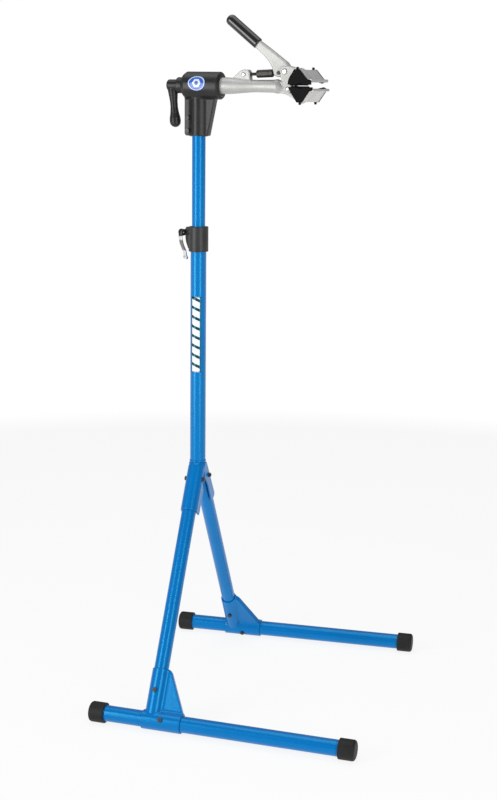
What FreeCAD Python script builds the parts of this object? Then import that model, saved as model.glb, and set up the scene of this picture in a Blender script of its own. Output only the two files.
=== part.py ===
import FreeCAD, Part
import math
import os
from FreeCAD import Placement, Rotation, Vector

# Folding bicycle repair stand. Millimetres and degrees.
# +X points the way the feet and the clamp arm reach, +Z is up, the fixed leg is on the -Y side.
# The origin is on the floor, under the middle of the stand's own box.

# Tubes
post_outer = 38.1
post_wall = 1.6
mast_outer = 31.8
mast_wall = 1.8
leg_outer = 34.9
leg_wall = 1.6
foot_outer = 38.1
foot_wall = 1.6

# Legs and feet
crown_height = 572.0
leg_lean = 31.15
toe_reach = 492.0
heel_reach = 157.5
toe_out = 2.1
cap_outer = 48.4
cap_length = 39.0
cap_end_wall = 6.0

# Crown: front sleeve, spigot in the post and rear channel
crown_wall = 3.3
sleeve_length = 100.0
sleeve_start = 30.0
spigot_height = 40.0
neck_drop = 20.0
bead_height = 5.0
bead_proud = 1.2
channel_wall = 3.0
cheek_end = 128.0
guard_reach = 22.0
guard_past = 4.0
stop_start = 96.0
stop_end = 118.0
fold_gap = 3.9

# Foot brackets
bracket_wall = 3.4
bracket_toe = 74.0
bracket_heel = 24.0
bracket_rise = 120.0
gusset_thick = 14.0
gusset_top = 9.0
bracket_leg_bolt = 68.0
bracket_foot_bolt = 26.0

# Fasteners
bolt_rod = 6.0
hex_across = 1.65
bush_radius = 6.0

# Height collar and its quick release
post_top = 1146.0
collar_bottom = 1091.0
collar_height = 59.5
collar_wall = 4.6
collar_turn = 135.0
ear_reach = 24.0
ear_half_width = 12.5
ear_height = 52.0
ear_drop = 3.5
collar_slit = 4.0
skewer_reach = 35.0
skewer_drop = 15.5
skewer_rod = 5.0
seat_thick = 5.0
cam_radius = 8.0
lever_thick = 4.0
lever_wide = 15.0
lever_length = 62.0
bush_height = 50.0

# Mast
mast_bottom = 822.0
glide_height = 30.0
clip_thick = 1.2
plug_flange = 2.5
mast_turn = -6.0

# Head (its own frame: X along the clamp arm, Z up, origin where arm axis and mast axis meet)
arm_height = 1481.5
barrel_radius = 32.0
barrel_front = 58.0
barrel_back = 39.0
barrel_bore = 22.5
barrel_end_wall = 7.0
socket_depth = 116.5
socket_wall = 3.6
socket_stop = 30.0
flange_reach = 34.0
flange_thick = 17.0
web_top = 45.5
web_bottom = 26.5
web_thick = 20.0
pinch_slit = 2.5
pinch_reach = 25.5
pinch_drop = 74.5
pinch_pitch = 30.5
bush_length = 30.0
ring_outer = 27.0
badge_half_length = 22.5
badge_half_height = 18.0
badge_reach = 7.0

# Lock behind the head
boss_radius = 18.8
boss_length = 15.5
knob_radius = 13.6
knob_length = 26.0
stud_rod = 10.0
lock_lever_length = 85.0
lock_lever_tilt = 5.0

# Clamp arm
shaft_radius = 19.3
arm_waist_radius = 14.2
arm_waist = 150.0
arm_end_radius = 15.0
arm_end = 200.0
tang_half = 9.5
lug_half = 9.5
eye_half = 4.0
side_gap = 0.4
cheek_thick = 4.5
pin_rod = 8.0

# Clamp pivots in the head frame (reach along the arm, height above its axis)
jaw_pivot = (228.5, -5.8)
handle_pivot = (220.5, 33.5)
toggle_pivot = (204.0, 30.3)
link_pivot = (117.0, 26.0)

# Jaws
upper_centre = 266.5
lower_centre = 273.0
mouth_centre = 275.0
jaw_middle = 1.5
jaw_length = 110.0
jaw_plate = 3.0
jaw_ridge = 34.6
ridge_near = 5.0
ridge_far = 6.0
upper_lip = 13.5
upper_inner = 18.0
upper_knee = 24.3
upper_knee_height = 13.5
upper_brim = 34.2
upper_brim_height = 9.0
lower_lip = 8.5
lower_inner = 22.0
lower_knee = 22.5
lower_knee_height = 10.6
lower_brim = 31.3
lower_brim_height = 7.0
liner_thick = 5.0
liner_flange = 3.0
mouth_half_gap = 2.6
wall_half_gap = 0.6
notch_half = 9.0
notch_top = 6.5
peg_pitch = 104.0
peg_rod = 4.4
peg_head = 3.1
peg_rise = 6.0

# Handle and adjuster
grip_radius = 13.0
grip_length = 97.0
grip_start = (149.8, 95.0)
grip_rise = 38.5
tang_radius = 8.0
neck_half = 9.0
link_rod = 6.6
adjuster_radius = 9.0
adjuster_start = 147.0
adjuster_end = 188.0
eye_radius = 6.5
near_eye_radius = 6.8
jaw_swing = 19.0
handle_swing = 80.0
link_swing = 9.4

# Clearances
fit = 0.05
running = 0.08
touch_gap = 0.3

# Worked out
post_inner = post_outer - 2 * post_wall
mast_inner = mast_outer - 2 * mast_wall
leg_inner = leg_outer - 2 * leg_wall
foot_axis = cap_outer / 2
lean = math.radians(leg_lean)
leg_length = (crown_height - foot_axis) / math.cos(lean)
foot_side = (crown_height - foot_axis) * math.tan(lean)
toe = math.radians(toe_out)
post_x = -(toe_reach - heel_reach) / 2 * math.cos(toe)
sleeve_outer = leg_outer + 2 * crown_wall
pivot_drop = (leg_outer / 2 + sleeve_outer / 2 + fold_gap) / math.sin(2 * lean)
bracket_seat = foot_outer / 2 + 5.0
collar_top = collar_bottom + collar_height
crown_point = Vector(post_x, 0, crown_height)
head_place = Placement(Vector(post_x, 0, arm_height), Rotation(Vector(0, 0, 1), mast_turn))
collar_place = Placement(Vector(post_x, 0, 0), Rotation(Vector(0, 0, 1), collar_turn))
across = Vector(1, 0, 0)
upward = Vector(0, 0, 1)
sideways = Vector(0, 1, 0)


def save(name, shape):
    shape.exportStep(os.path.join("parts", name + ".step"))


def rod(start, direction, length, radius):
    return Part.makeCylinder(radius, length, start, direction)


def tube(start, direction, length, outer_radius, inner_radius):
    return rod(start, direction, length, outer_radius).cut(rod(start, direction, length, inner_radius))


def aim(shape, start, direction):
    """Carry a shape built along +Z to a start point and a direction."""
    shape.Placement = Placement(start, Rotation(upward, direction))
    return shape


def turned(profile, start, direction):
    """A solid turned about its own axis from (distance, radius) points."""
    points = [Vector(radius, 0, distance) for distance, radius in profile]
    face = Part.Face(Part.makePolygon(points + [points[0]]))
    return aim(face.revolve(Vector(0, 0, 0), upward, 360), start, direction)


def slab(points, low, high):
    """A flat piece in the head frame: (reach, height) outline, from low to high across the arm."""
    outline = [Vector(reach, low, height) for reach, height in points]
    face = Part.Face(Part.makePolygon(outline + [outline[0]]))
    return face.extrude(Vector(0, high - low, 0))


def slab_at(point, low, high, radius):
    return rod(Vector(point[0], low, point[1]), sideways, high - low, radius)


def hex_prism(start, direction, across_flats, height):
    corner = across_flats / math.sqrt(3)
    points = []
    for index in range(6):
        angle = math.radians(60 * index)
        points.append(Vector(corner * math.cos(angle), corner * math.sin(angle), 0))
    face = Part.Face(Part.makePolygon(points + [points[0]]))
    return aim(face.extrude(Vector(0, 0, height)), start, direction)


def place(shape, placement):
    shape.Placement = placement.multiply(shape.Placement)
    return shape


def bolt(start, direction, grip, diameter):
    """Hex-headed bolt whose head seats at start and whose end stands past its nut."""
    head_height = diameter * 0.65
    nut_height = diameter * 0.8
    head = hex_prism(start - direction * head_height, direction, diameter * hex_across, head_height)
    shank = rod(start - direction * head_height, direction, head_height + grip + nut_height + 1.5, diameter / 2)
    return head.fuse(shank).removeSplitter()


def nut(start, direction, diameter):
    body = hex_prism(start, direction, diameter * hex_across, diameter * 0.8)
    return body.cut(rod(start - direction, direction, diameter * 0.8 + 2, diameter / 2 + fit))


def leg_down(side):
    return Vector(0, side * math.sin(lean), -math.cos(lean))


def leg_out(side):
    return Vector(0, side * math.cos(lean), math.sin(lean))


def leg_point(side, distance):
    return crown_point + leg_down(side) * distance


def foot_forward(side):
    return Vector(math.cos(toe), side * math.sin(toe), 0)


def foot_joint(side):
    return leg_point(side, leg_length)


# ---- base -----------------------------------------------------------------

def lower_post():
    base = Vector(post_x, 0, crown_height)
    outer = rod(base, upward, post_top - crown_height, post_outer / 2)
    bead = turned([(0, 0), (0, post_outer / 2 + bead_proud), (bead_height - 2, post_outer / 2 + bead_proud),
                   (bead_height, post_outer / 2), (bead_height, 0)], base, upward)
    shape = outer.fuse(bead)
    shape = shape.cut(rod(base - upward, upward, post_top - crown_height + 2, post_inner / 2))
    slit = Part.makeBox(post_outer, collar_slit, collar_height - 10,
                        Vector(0, -collar_slit / 2, collar_bottom + 10))
    return shape.cut(place(slit, collar_place))


def cheek_outline():
    """Side of a rear cheek as points relative to the crown point."""
    out = leg_out(1)
    down = leg_down(1)
    near = -leg_outer / 2
    points = [Vector(0, -6, -3), Vector(0, 8, -3)]
    points.append(down * 24 + out * 7)
    points.append(down * (cheek_end - 6) + out * 12)
    points.append(down * cheek_end + out * 7)
    points.append(down * cheek_end + out * (near + 5))
    points.append(down * (cheek_end - 5) + out * near)
    points.append(down * (pivot_drop + 15) + out * near)
    points.append(Vector(0, -6, -pivot_drop * 0.8))
    return points


def stop_outline():
    """Strap from cheek to cheek that stops the folding leg at its open position."""
    out = leg_out(1)
    down = leg_down(1)
    inside = leg_outer / 2 + touch_gap
    points = [down * stop_start + out * 5]
    points.append(down * stop_start + out * (inside + channel_wall))
    points.append(down * stop_end + out * (inside + channel_wall))
    points.append(down * stop_end + out * 5)
    return points


def guard_outline():
    """Side guard behind the front sleeve, beside where the folding leg lies when folded."""
    out = leg_out(-1)
    down = leg_down(-1)
    end = sleeve_start + sleeve_length
    points = [down * (pivot_drop + 8) + out * 4, down * (pivot_drop + 8) - out * 6]
    points.append(down * (pivot_drop + 20) - out * guard_reach)
    points.append(down * (end + guard_past - 3) - out * guard_reach)
    points.append(down * (end + guard_past) - out * (guard_reach - 4))
    points.append(down * (end + guard_past) - out * 7)
    points.append(down * (end - 2) + out * 4)
    return points


def side_plate(outline, low, thickness):
    """A plate square to X from an outline around the crown point."""
    points = [crown_point + point + Vector(low, 0, 0) for point in outline]
    face = Part.Face(Part.makePolygon(points + [points[0]]))
    return face.extrude(Vector(thickness, 0, 0))


def leg_crown():
    neck = rod(crown_point - upward * neck_drop, upward, neck_drop, post_outer / 2)
    spigot = rod(crown_point - upward, upward, spigot_height, post_inner / 2 - fit)
    knuckle = Part.makeSphere(sleeve_outer / 2, leg_point(-1, neck_drop))
    sleeve_end = sleeve_start + sleeve_length
    sleeve = rod(leg_point(-1, neck_drop), leg_down(-1), sleeve_end - neck_drop, sleeve_outer / 2)
    shape = neck.fuse([knuckle, sleeve])
    shape = shape.cut(rod(crown_point, upward, spigot_height, 2 * post_outer)).fuse(spigot)
    cheek_inside = leg_outer / 2 + side_gap
    cheek_outside = cheek_inside + channel_wall
    for low in (cheek_inside, -cheek_outside):
        shape = shape.fuse(side_plate(cheek_outline(), low, channel_wall))
    for low in (sleeve_outer / 2 - channel_wall, -sleeve_outer / 2):
        shape = shape.fuse(side_plate(guard_outline(), low, channel_wall))
    stop = side_plate(stop_outline(), -cheek_outside, 2 * cheek_outside)
    window_radius = leg_outer / 2 + touch_gap
    wrap = tube(leg_point(1, 0), leg_down(1), cheek_end, window_radius + channel_wall, window_radius)
    shape = shape.fuse(stop.common(wrap))
    core = rod(crown_point - upward * neck_drop * 0.4, upward, spigot_height + neck_drop, post_inner / 2 - 4)
    shape = shape.cut(core)
    leg_bore = rod(leg_point(-1, sleeve_start), leg_down(-1), sleeve_length + 5, leg_outer / 2 + fit)
    shape = shape.cut(leg_bore)
    for side in (-1, 1):
        start = leg_point(side, pivot_drop) - across * 60
        shape = shape.cut(rod(start, across, 120, bolt_rod / 2 + fit))
    return shape.removeSplitter()


def leg_tube(side, top):
    bottom = leg_length - bracket_seat - touch_gap
    outer = rod(leg_point(side, top), leg_down(side), bottom - top, leg_outer / 2)
    inner = rod(leg_point(side, top - 1), leg_down(side), bottom - top + 2, leg_inner / 2)
    shape = outer.cut(inner)
    middle, direction = bracket_bolt_lines(side)[0]
    return shape.cut(rod(middle - direction * leg_outer, direction, 2 * leg_outer, bolt_rod / 2 + fit))


def fixed_leg_tube():
    shape = leg_tube(-1, sleeve_start + 1)
    start = leg_point(-1, pivot_drop) - across * leg_outer
    return shape.cut(rod(start, across, 2 * leg_outer, bolt_rod / 2 + fit))


def folding_leg_tube():
    shape = leg_tube(1, pivot_drop - leg_outer / 2)
    pivot = leg_point(1, pivot_drop)
    rounded = rod(pivot - across * leg_outer, across, 2 * leg_outer, leg_outer / 2)
    lower = rod(pivot, leg_down(1), leg_length, leg_outer)
    shape = shape.common(rounded.fuse(lower))
    return shape.cut(rod(pivot - across * leg_outer, across, 2 * leg_outer, bush_radius))


def pivot_bush():
    length = leg_outer
    start = leg_point(1, pivot_drop) - across * (length / 2)
    return tube(start, across, length, bush_radius - fit, bolt_rod / 2 + running)


def foot_bracket(side):
    joint = foot_joint(side)
    forward = foot_forward(side)
    rise = -leg_down(side)
    sleeve = rod(joint - forward * bracket_heel, forward, bracket_heel + bracket_toe,
                 foot_outer / 2 + bracket_wall)
    post = rod(joint, rise, bracket_rise, leg_outer / 2 + bracket_wall - 0.4)
    normal = forward.cross(rise)
    normal.normalize()
    corners = [joint, joint + forward * (bracket_toe - 1)]
    corners.append(joint + forward * (bracket_toe - 1) + rise * (foot_outer / 2 + bracket_wall))
    corners.append(joint + forward * (leg_outer / 2 + bracket_wall + gusset_top) + rise * (bracket_rise - 6))
    corners.append(joint + forward * (leg_outer / 2 + bracket_wall + gusset_top - 5) + rise * (bracket_rise - 1))
    corners.append(joint + rise * (bracket_rise - 1))
    corners = [corner - normal * (gusset_thick / 2) for corner in corners]
    gusset = Part.Face(Part.makePolygon(corners + [corners[0]])).extrude(normal * gusset_thick)
    shape = sleeve.fuse([post, gusset]).removeSplitter()
    foot_bore = rod(joint - forward * (bracket_heel + 5), forward, bracket_heel + bracket_toe + 10,
                    foot_outer / 2 + fit)
    leg_bore = rod(joint + rise * bracket_seat, rise, bracket_rise, leg_outer / 2 + fit)
    shape = shape.cut(foot_bore).cut(leg_bore)
    for start, direction in bracket_bolt_lines(side):
        shape = shape.cut(rod(start - direction * 40, direction, 80, bolt_rod / 2 + fit))
    return shape


def bracket_bolt_lines(side):
    """Middle and direction of the two through bolts of a foot bracket."""
    normal = foot_forward(side).cross(leg_down(side))
    normal.normalize()
    leg_middle = leg_point(side, leg_length - bracket_leg_bolt)
    foot_middle = foot_joint(side) + foot_forward(side) * bracket_foot_bolt
    return [(leg_middle, normal), (foot_middle, normal)]


def bracket_bolts(side):
    half_spans = (leg_outer / 2 + bracket_wall - 0.4, foot_outer / 2 + bracket_wall)
    pieces = []
    for (middle, direction), half in zip(bracket_bolt_lines(side), half_spans):
        pieces.append(bolt(middle - direction * half, direction, 2 * half, bolt_rod))
    return Part.makeCompound(pieces)


def bracket_nuts(side):
    half_spans = (leg_outer / 2 + bracket_wall - 0.4, foot_outer / 2 + bracket_wall)
    pieces = []
    for (middle, direction), half in zip(bracket_bolt_lines(side), half_spans):
        pieces.append(nut(middle + direction * half, direction, bolt_rod))
    return Part.makeCompound(pieces)


def foot_tube(side):
    forward = foot_forward(side)
    inset = cap_end_wall + touch_gap
    start = foot_joint(side) - forward * (heel_reach - inset)
    length = heel_reach + toe_reach - 2 * inset
    shape = tube(start, forward, length, foot_outer / 2, foot_outer / 2 - foot_wall)
    middle, direction = bracket_bolt_lines(side)[1]
    return shape.cut(rod(middle - direction * 30, direction, 60, bolt_rod / 2 + fit))


def foot_cap(side, end):
    """End cap: end +1 is the toe, -1 the heel."""
    reach = toe_reach if end > 0 else heel_reach
    direction = foot_forward(side) * end
    start = foot_joint(side) + direction * (reach - cap_length)
    outer = cap_outer / 2
    bore = foot_outer / 2 + fit
    profile = [(0, bore), (0, outer - 1.2), (1.2, outer), (cap_length - 5, outer), (cap_length - 1.5, outer - 2.2),
               (cap_length, outer - 6), (cap_length, 0), (cap_length - cap_end_wall, 0),
               (cap_length - cap_end_wall, bore)]
    return turned(profile, start, direction)


def crown_bolt(side):
    half = sleeve_outer / 2 if side < 0 else leg_outer / 2 + side_gap + channel_wall
    return bolt(leg_point(side, pivot_drop) - across * half, across, 2 * half, bolt_rod)


def crown_nut(side):
    half = sleeve_outer / 2 if side < 0 else leg_outer / 2 + side_gap + channel_wall
    return nut(leg_point(side, pivot_drop) + across * half, across, bolt_rod)


# ---- collar ---------------------------------------------------------------

skewer_height = collar_top - skewer_drop


def collar():
    base = Vector(0, 0, collar_bottom)
    outer_radius = post_outer / 2 + fit + collar_wall
    body = rod(base, upward, collar_height, outer_radius)
    ear_base = collar_top - ear_drop - ear_height
    reach = outer_radius + ear_reach
    profile = [(10, 0), (outer_radius + 9, 0), (reach - 3, ear_height * 0.3), (reach, ear_height * 0.5),
               (reach, ear_height - 5),
               (reach - 5, ear_height), (10, ear_height)]
    corners = [Vector(out, -ear_half_width, ear_base + rise) for out, rise in profile]
    ear = Part.Face(Part.makePolygon(corners + [corners[0]])).extrude(sideways * (2 * ear_half_width))
    shape = body.fuse(ear)
    shape = shape.cut(rod(base - upward, upward, post_top + touch_gap - collar_bottom + 1, post_outer / 2 + fit))
    shape = shape.cut(rod(base, upward, collar_height + 1, mast_outer / 2 + 0.5))
    slit = Part.makeBox(outer_radius + ear_reach, collar_slit, collar_height + 2,
                        Vector(mast_outer / 2 - 1, -collar_slit / 2, collar_bottom - 1))
    shape = shape.cut(slit)
    hole = rod(Vector(skewer_reach, -40, skewer_height), sideways, 80, skewer_rod / 2 + 0.2)
    shape = shape.cut(hole).removeSplitter()
    return place(shape, collar_place)


def skewer():
    """Rod through both ears with its eye in the cam."""
    end = ear_half_width + seat_thick + cam_radius + touch_gap
    start = Vector(skewer_reach, -ear_half_width - 12, skewer_height)
    shank = rod(start, sideways, end + ear_half_width + 12 - 2, skewer_rod / 2)
    eye = rod(Vector(skewer_reach - 3, end, skewer_height), across, 6, 5)
    shape = shank.fuse(eye)
    return place(shape.cut(rod(Vector(skewer_reach - 5, end, skewer_height), across, 10, 2.5 + running)),
                 collar_place)


def skewer_nut():
    start = Vector(skewer_reach, -ear_half_width, skewer_height)
    profile = [(0, skewer_rod / 2 + fit), (0, 8), (6, 8), (9, 6), (9, skewer_rod / 2 + fit)]
    return place(turned(profile, start, sideways * -1), collar_place)


def cam_seat():
    start = Vector(skewer_reach, ear_half_width, skewer_height)
    profile = [(0, skewer_rod / 2 + fit), (0, 9), (seat_thick - 0.2, 8), (seat_thick - 0.2, skewer_rod / 2 + fit)]
    shape = turned(profile, start, sideways)
    return place(shape, collar_place)


def cam_pin():
    end = ear_half_width + seat_thick + cam_radius + touch_gap
    start = Vector(skewer_reach - lever_wide / 2, end, skewer_height)
    return place(rod(start, across, lever_wide, 2.5), collar_place)


def cam_lever():
    """Cam head with its curved lever, closed, hanging along the collar."""
    end = ear_half_width + seat_thick + cam_radius + touch_gap
    head = rod(Vector(skewer_reach - lever_wide / 2, end, skewer_height), across, lever_wide, cam_radius)
    path = [(4, 2), (5.5, -12), (2, -28), (-6, -46), (-9, -lever_length)]
    upper = []
    lower = []
    for offset, drop in path:
        upper.append((end + offset + lever_thick / 2, skewer_height + drop))
        lower.append((end + offset - lever_thick / 2, skewer_height + drop))
    corners = [Vector(skewer_reach - lever_wide / 2, y, z) for y, z in upper + lower[::-1]]
    blade = Part.Face(Part.makePolygon(corners + [corners[0]])).extrude(across * lever_wide)
    tip = rod(Vector(skewer_reach - lever_wide / 2, end - 9, skewer_height - lever_length), across,
              lever_wide, lever_thick * 0.9)
    shape = head.fuse([blade, tip])
    slot = Part.makeBox(6 + 2 * touch_gap, 2 * cam_radius + 12, 2 * cam_radius + 2,
                        Vector(skewer_reach - 3 - touch_gap, end - cam_radius - 7, skewer_height - cam_radius - 1))
    shape = shape.cut(slot)
    shape = shape.cut(rod(Vector(skewer_reach - 20, end, skewer_height), across, 40, 2.5 + fit))
    back = rod(Vector(skewer_reach + 3 + touch_gap, end, skewer_height), across, lever_wide / 2 - 3 - touch_gap, 4)
    shape = shape.fuse(back.cut(rod(Vector(skewer_reach - 20, end, skewer_height), across, 40, 2.5 + fit)))
    return place(shape.removeSplitter(), collar_place)


# ---- mast -----------------------------------------------------------------

def guide_bush():
    start = Vector(post_x, 0, post_top - bush_height)
    return tube(start, upward, bush_height, post_inner / 2 - fit, mast_outer / 2 + running)


def mast_glide():
    start = Vector(post_x, 0, mast_bottom + touch_gap)
    return tube(start, upward, glide_height, post_inner / 2 - running, mast_outer / 2 + running)


def glide_clip():
    start = Vector(post_x, 0, mast_bottom + glide_height + 2 * touch_gap)
    return tube(start, upward, clip_thick, mast_outer / 2 + 0.9, mast_outer / 2)


def mast_plug():
    start = Vector(post_x, 0, mast_bottom - plug_flange)
    flange = rod(start, upward, plug_flange, mast_outer / 2 + 0.9)
    stem = rod(start, upward, plug_flange + 22, mast_inner / 2 - fit)
    return flange.fuse(stem).cut(rod(start - upward, upward, plug_flange + 24, mast_inner / 2 - 4)).removeSplitter()


def mast_tube():
    top = arm_height - socket_stop - touch_gap
    start = Vector(post_x, 0, mast_bottom)
    return tube(start, upward, top - mast_bottom, mast_outer / 2, mast_inner / 2)


# ---- head (built in the head frame) ---------------------------------------

def head_casting():
    barrel = turned([(0, 0), (0, barrel_radius - 12), (3.5, barrel_radius - 5), (11, barrel_radius),
                     (barrel_back + barrel_front - 5, barrel_radius),
                     (barrel_back + barrel_front, barrel_radius - 2), (barrel_back + barrel_front, 0)],
                    Vector(-barrel_back, 0, 0), across)
    socket = rod(Vector(0, 0, -socket_depth), upward, socket_depth, mast_outer / 2 + socket_wall)
    flange = slab([(-flange_reach, -socket_depth + 4), (-flange_reach + 4, -socket_depth), (0, -socket_depth), (0, 0),
                   (-flange_reach, 0)], -flange_thick / 2, flange_thick / 2)
    web = slab([(0, -socket_depth), (web_bottom, -socket_depth), (web_top, -barrel_radius * 0.8), (web_top, 0),
                (0, 0)], -web_thick / 2, web_thick / 2)
    shape = barrel.fuse([socket, flange, web]).removeSplitter()
    bore_length = barrel_back + barrel_front
    shape = shape.cut(rod(Vector(-barrel_back + barrel_end_wall, 0, 0), across, bore_length, barrel_bore))
    recess = rod(Vector(barrel_front - 4, 0, 0), across, 10, ring_outer + fit)
    shape = shape.cut(recess)
    shape = shape.cut(rod(Vector(-barrel_back - 1, 0, 0), across, barrel_end_wall + 3, stud_rod / 2 + 1.5))
    shape = shape.cut(rod(Vector(0, 0, -socket_depth - 1), upward, socket_depth - socket_stop + 1, mast_outer / 2 + fit))
    slit = Part.makeBox(flange_reach + 1, pinch_slit, socket_depth - socket_stop - 4,
                        Vector(-flange_reach - 1, -pinch_slit / 2, -socket_depth - 1))
    shape = shape.cut(slit)
    for height in pinch_heights():
        shape = shape.cut(rod(Vector(-pinch_reach, -30, height), sideways, 60, bolt_rod / 2 + fit))
    return place(shape, head_place)


def pinch_heights():
    return (-pinch_drop, -pinch_drop - pinch_pitch)


def pinch_screws():
    pieces = []
    for height in pinch_heights():
        start = Vector(-pinch_reach, -flange_thick / 2, height)
        pieces.append(bolt(start, sideways, flange_thick, bolt_rod))
    return place(Part.makeCompound(pieces), head_place)


def pinch_nuts():
    pieces = []
    for height in pinch_heights():
        pieces.append(nut(Vector(-pinch_reach, flange_thick / 2, height), sideways, bolt_rod))
    return place(Part.makeCompound(pieces), head_place)


def barrel_bush(start):
    shape = tube(Vector(start, 0, 0), across, bush_length, barrel_bore - fit, shaft_radius + running)
    return place(shape, head_place)


def trim_ring():
    start = Vector(barrel_front - 4, 0, 0)
    profile = [(0, shaft_radius + touch_gap), (0, ring_outer), (4.5, ring_outer), (6, ring_outer - 3),
               (6, shaft_radius + touch_gap)]
    return place(turned(profile, start, across), head_place)


def badge():
    """Thin blank oval plate on the near flank of the barrel, a little proud of it."""
    oval = Part.Ellipse(Vector(0, 0, 0), badge_half_length, badge_half_height).toShape()
    face = Part.Face(Part.Wire(oval))
    block = face.extrude(Vector(0, 0, 60))
    tilt = Placement(Vector(badge_reach, 0, 0), Rotation(Vector(1, 0, 0), 80))
    block = place(block, tilt)
    skin = tube(Vector(-30, 0, 0), across, 80, barrel_radius + 0.6, barrel_radius + fit)
    return place(block.common(skin), head_place)


# ---- lock -----------------------------------------------------------------

def lock_boss():
    start = Vector(-barrel_back, 0, 0)
    profile = [(0, stud_rod / 2 + 1.5), (0, boss_radius), (boss_length - 4, boss_radius), (boss_length, boss_radius - 2.5),
               (boss_length, stud_rod / 2 + 1.5)]
    return place(turned(profile, start, across * -1), head_place)


def lock_stud():
    back = barrel_back + boss_length + touch_gap + knob_length - 4
    inside = barrel_back - barrel_end_wall - 18
    return place(rod(Vector(-back, 0, 0), across, back - inside, stud_rod / 2), head_place)


def lock_knob():
    front = barrel_back + boss_length + touch_gap
    cylinder = turned([(0, 0), (0, knob_radius), (knob_length - 4, knob_radius), (knob_length - 1, knob_radius - 2),
                       (knob_length, knob_radius - 5), (knob_length, 0)], Vector(-front, 0, 0), across * -1)
    tilt = math.radians(lock_lever_tilt)
    down = Vector(math.sin(tilt), 0, -math.cos(tilt))
    start = Vector(-front - 14, 0, 0)
    reach = lock_lever_length
    profile = [(0, 0), (0, 11), (14, 12.0), (24, 10.6), (38, 9.0), (52, 8.9), (66, 10.6), (76, 12.8), (reach, 13.3),
               (reach + 6, 11.9), (reach + 10, 8.7), (reach + 12.5, 4), (reach + 13, 0)]
    lever = turned(profile, start, down)
    shape = cylinder.fuse(lever)
    bore = rod(Vector(-front - knob_length + 3, 0, 0), across, knob_length + 5, stud_rod / 2 + running)
    return place(shape.cut(bore), head_place)


# ---- clamp arm ------------------------------------------------------------

def arm_casting():
    back = barrel_back - barrel_end_wall - touch_gap
    profile = [(0, 0), (0, shaft_radius), (back + barrel_front + 8, shaft_radius)]
    start_taper = barrel_front + 8
    steps = 8
    for index in range(1, steps + 1):
        share = index / steps
        reach = start_taper + (arm_waist - start_taper) * share
        blend = 0.5 - 0.5 * math.cos(math.pi * share)
        profile.append((back + reach, shaft_radius + (arm_waist_radius - shaft_radius) * blend))
    profile.append((back + arm_end, arm_end_radius))
    profile.append((back + arm_end + 8, tang_half - 1))
    profile.append((back + arm_end + 8, 0))
    body = turned(profile, Vector(-back, 0, 0), across)
    tang = slab(arm_tang_outline(), -tang_half, tang_half)
    lug = slab([(84, 8), (84, 13.5), (108, 34), (117, 37.5), (128, 37), (132, 30), (133, 8)], -lug_half, lug_half)
    shape = body.fuse([tang, lug]).removeSplitter()
    gap = slab([(100, arm_waist_radius + 4.5), (100, 50), (140, 50), (140, arm_waist_radius + 4.5)],
               -eye_half - side_gap, eye_half + side_gap)
    shape = shape.cut(gap).cut(jaw_block(-1))
    stud_hole = rod(Vector(-back - 1, 0, 0), across, 30, stud_rod / 2 + fit)
    shape = shape.cut(stud_hole)
    shape = shape.cut(slab_at(link_pivot, -30, 30, pin_rod / 2 + fit))
    shape = shape.cut(slab_at(jaw_pivot, -30, 30, pin_rod / 2 + fit))
    return place(shape, head_place)


def jaw_line(way):
    """Middle line of a jaw plate: (reach from its ridge, distance from the mouth's middle)."""
    if way > 0:
        inner = [(-upper_inner, upper_lip), (3 - upper_inner, upper_lip + 5.5)]
        outer = [(upper_knee, upper_knee_height), (upper_brim, upper_brim_height)]
    else:
        inner = [(-lower_inner, lower_lip), (3 - lower_inner, lower_lip + 5.5)]
        outer = [(lower_knee, lower_knee_height), (lower_brim, lower_brim_height)]
    return inner + [(-ridge_near, jaw_ridge), (ridge_far, jaw_ridge)] + outer


def ridge_reach(way):
    return upper_centre if way > 0 else lower_centre


def shifted(line, offset):
    """The same open line moved sideways by offset, with mitred corners."""
    moved = []
    for index, point in enumerate(line):
        before = line[max(index - 1, 0)]
        after = line[min(index + 1, len(line) - 1)]
        first = (point[0] - before[0], point[1] - before[1])
        second = (after[0] - point[0], after[1] - point[1])
        if index == 0:
            first = second
        if index == len(line) - 1:
            second = first
        normals = []
        for step in (first, second):
            size = math.hypot(step[0], step[1])
            normals.append((-step[1] / size, step[0] / size))
        total = (normals[0][0] + normals[1][0], normals[0][1] + normals[1][1])
        scale = 2 / (total[0] ** 2 + total[1] ** 2)
        moved.append((point[0] + total[0] * scale * offset, point[1] + total[1] * scale * offset))
    return moved


def jaw_points(points, way):
    """Jaw outline points carried into the head frame; way is +1 for the upper jaw, -1 for the lower."""
    return [(ridge_reach(way) + reach, jaw_middle + way * height) for reach, height in points]


def jaw_block(way):
    """Everything a jaw plate covers, down past the middle of the mouth."""
    skin = shifted(jaw_line(way), jaw_plate / 2)
    outline = skin + [(skin[-1][0], -upper_lip), (skin[0][0], -upper_lip)]
    return slab(jaw_points(outline, way), -jaw_length, jaw_length)


def arm_tang_outline():
    ridge = jaw_points(shifted(jaw_line(-1), jaw_plate / 2), -1)[2]
    return [(196, 12), (222, 11), (236, 6), (256, -3), (262, -12), ridge, (258, -39), (240, -27), (222, -18),
            (196, -13)]


def jaw_plate_piece(way):
    line = jaw_line(way)
    outline = shifted(line, jaw_plate / 2) + shifted(line, -jaw_plate / 2)[::-1]
    shape = slab(jaw_points(outline, way), -jaw_length / 2, jaw_length / 2)
    for across_at in (-peg_pitch / 2, peg_pitch / 2):
        hole = rod(Vector(ridge_reach(way), across_at, jaw_middle), upward * way, jaw_ridge + 10, peg_rod / 2 + fit)
        shape = shape.cut(hole)
    return place(shape, head_place)


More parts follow.
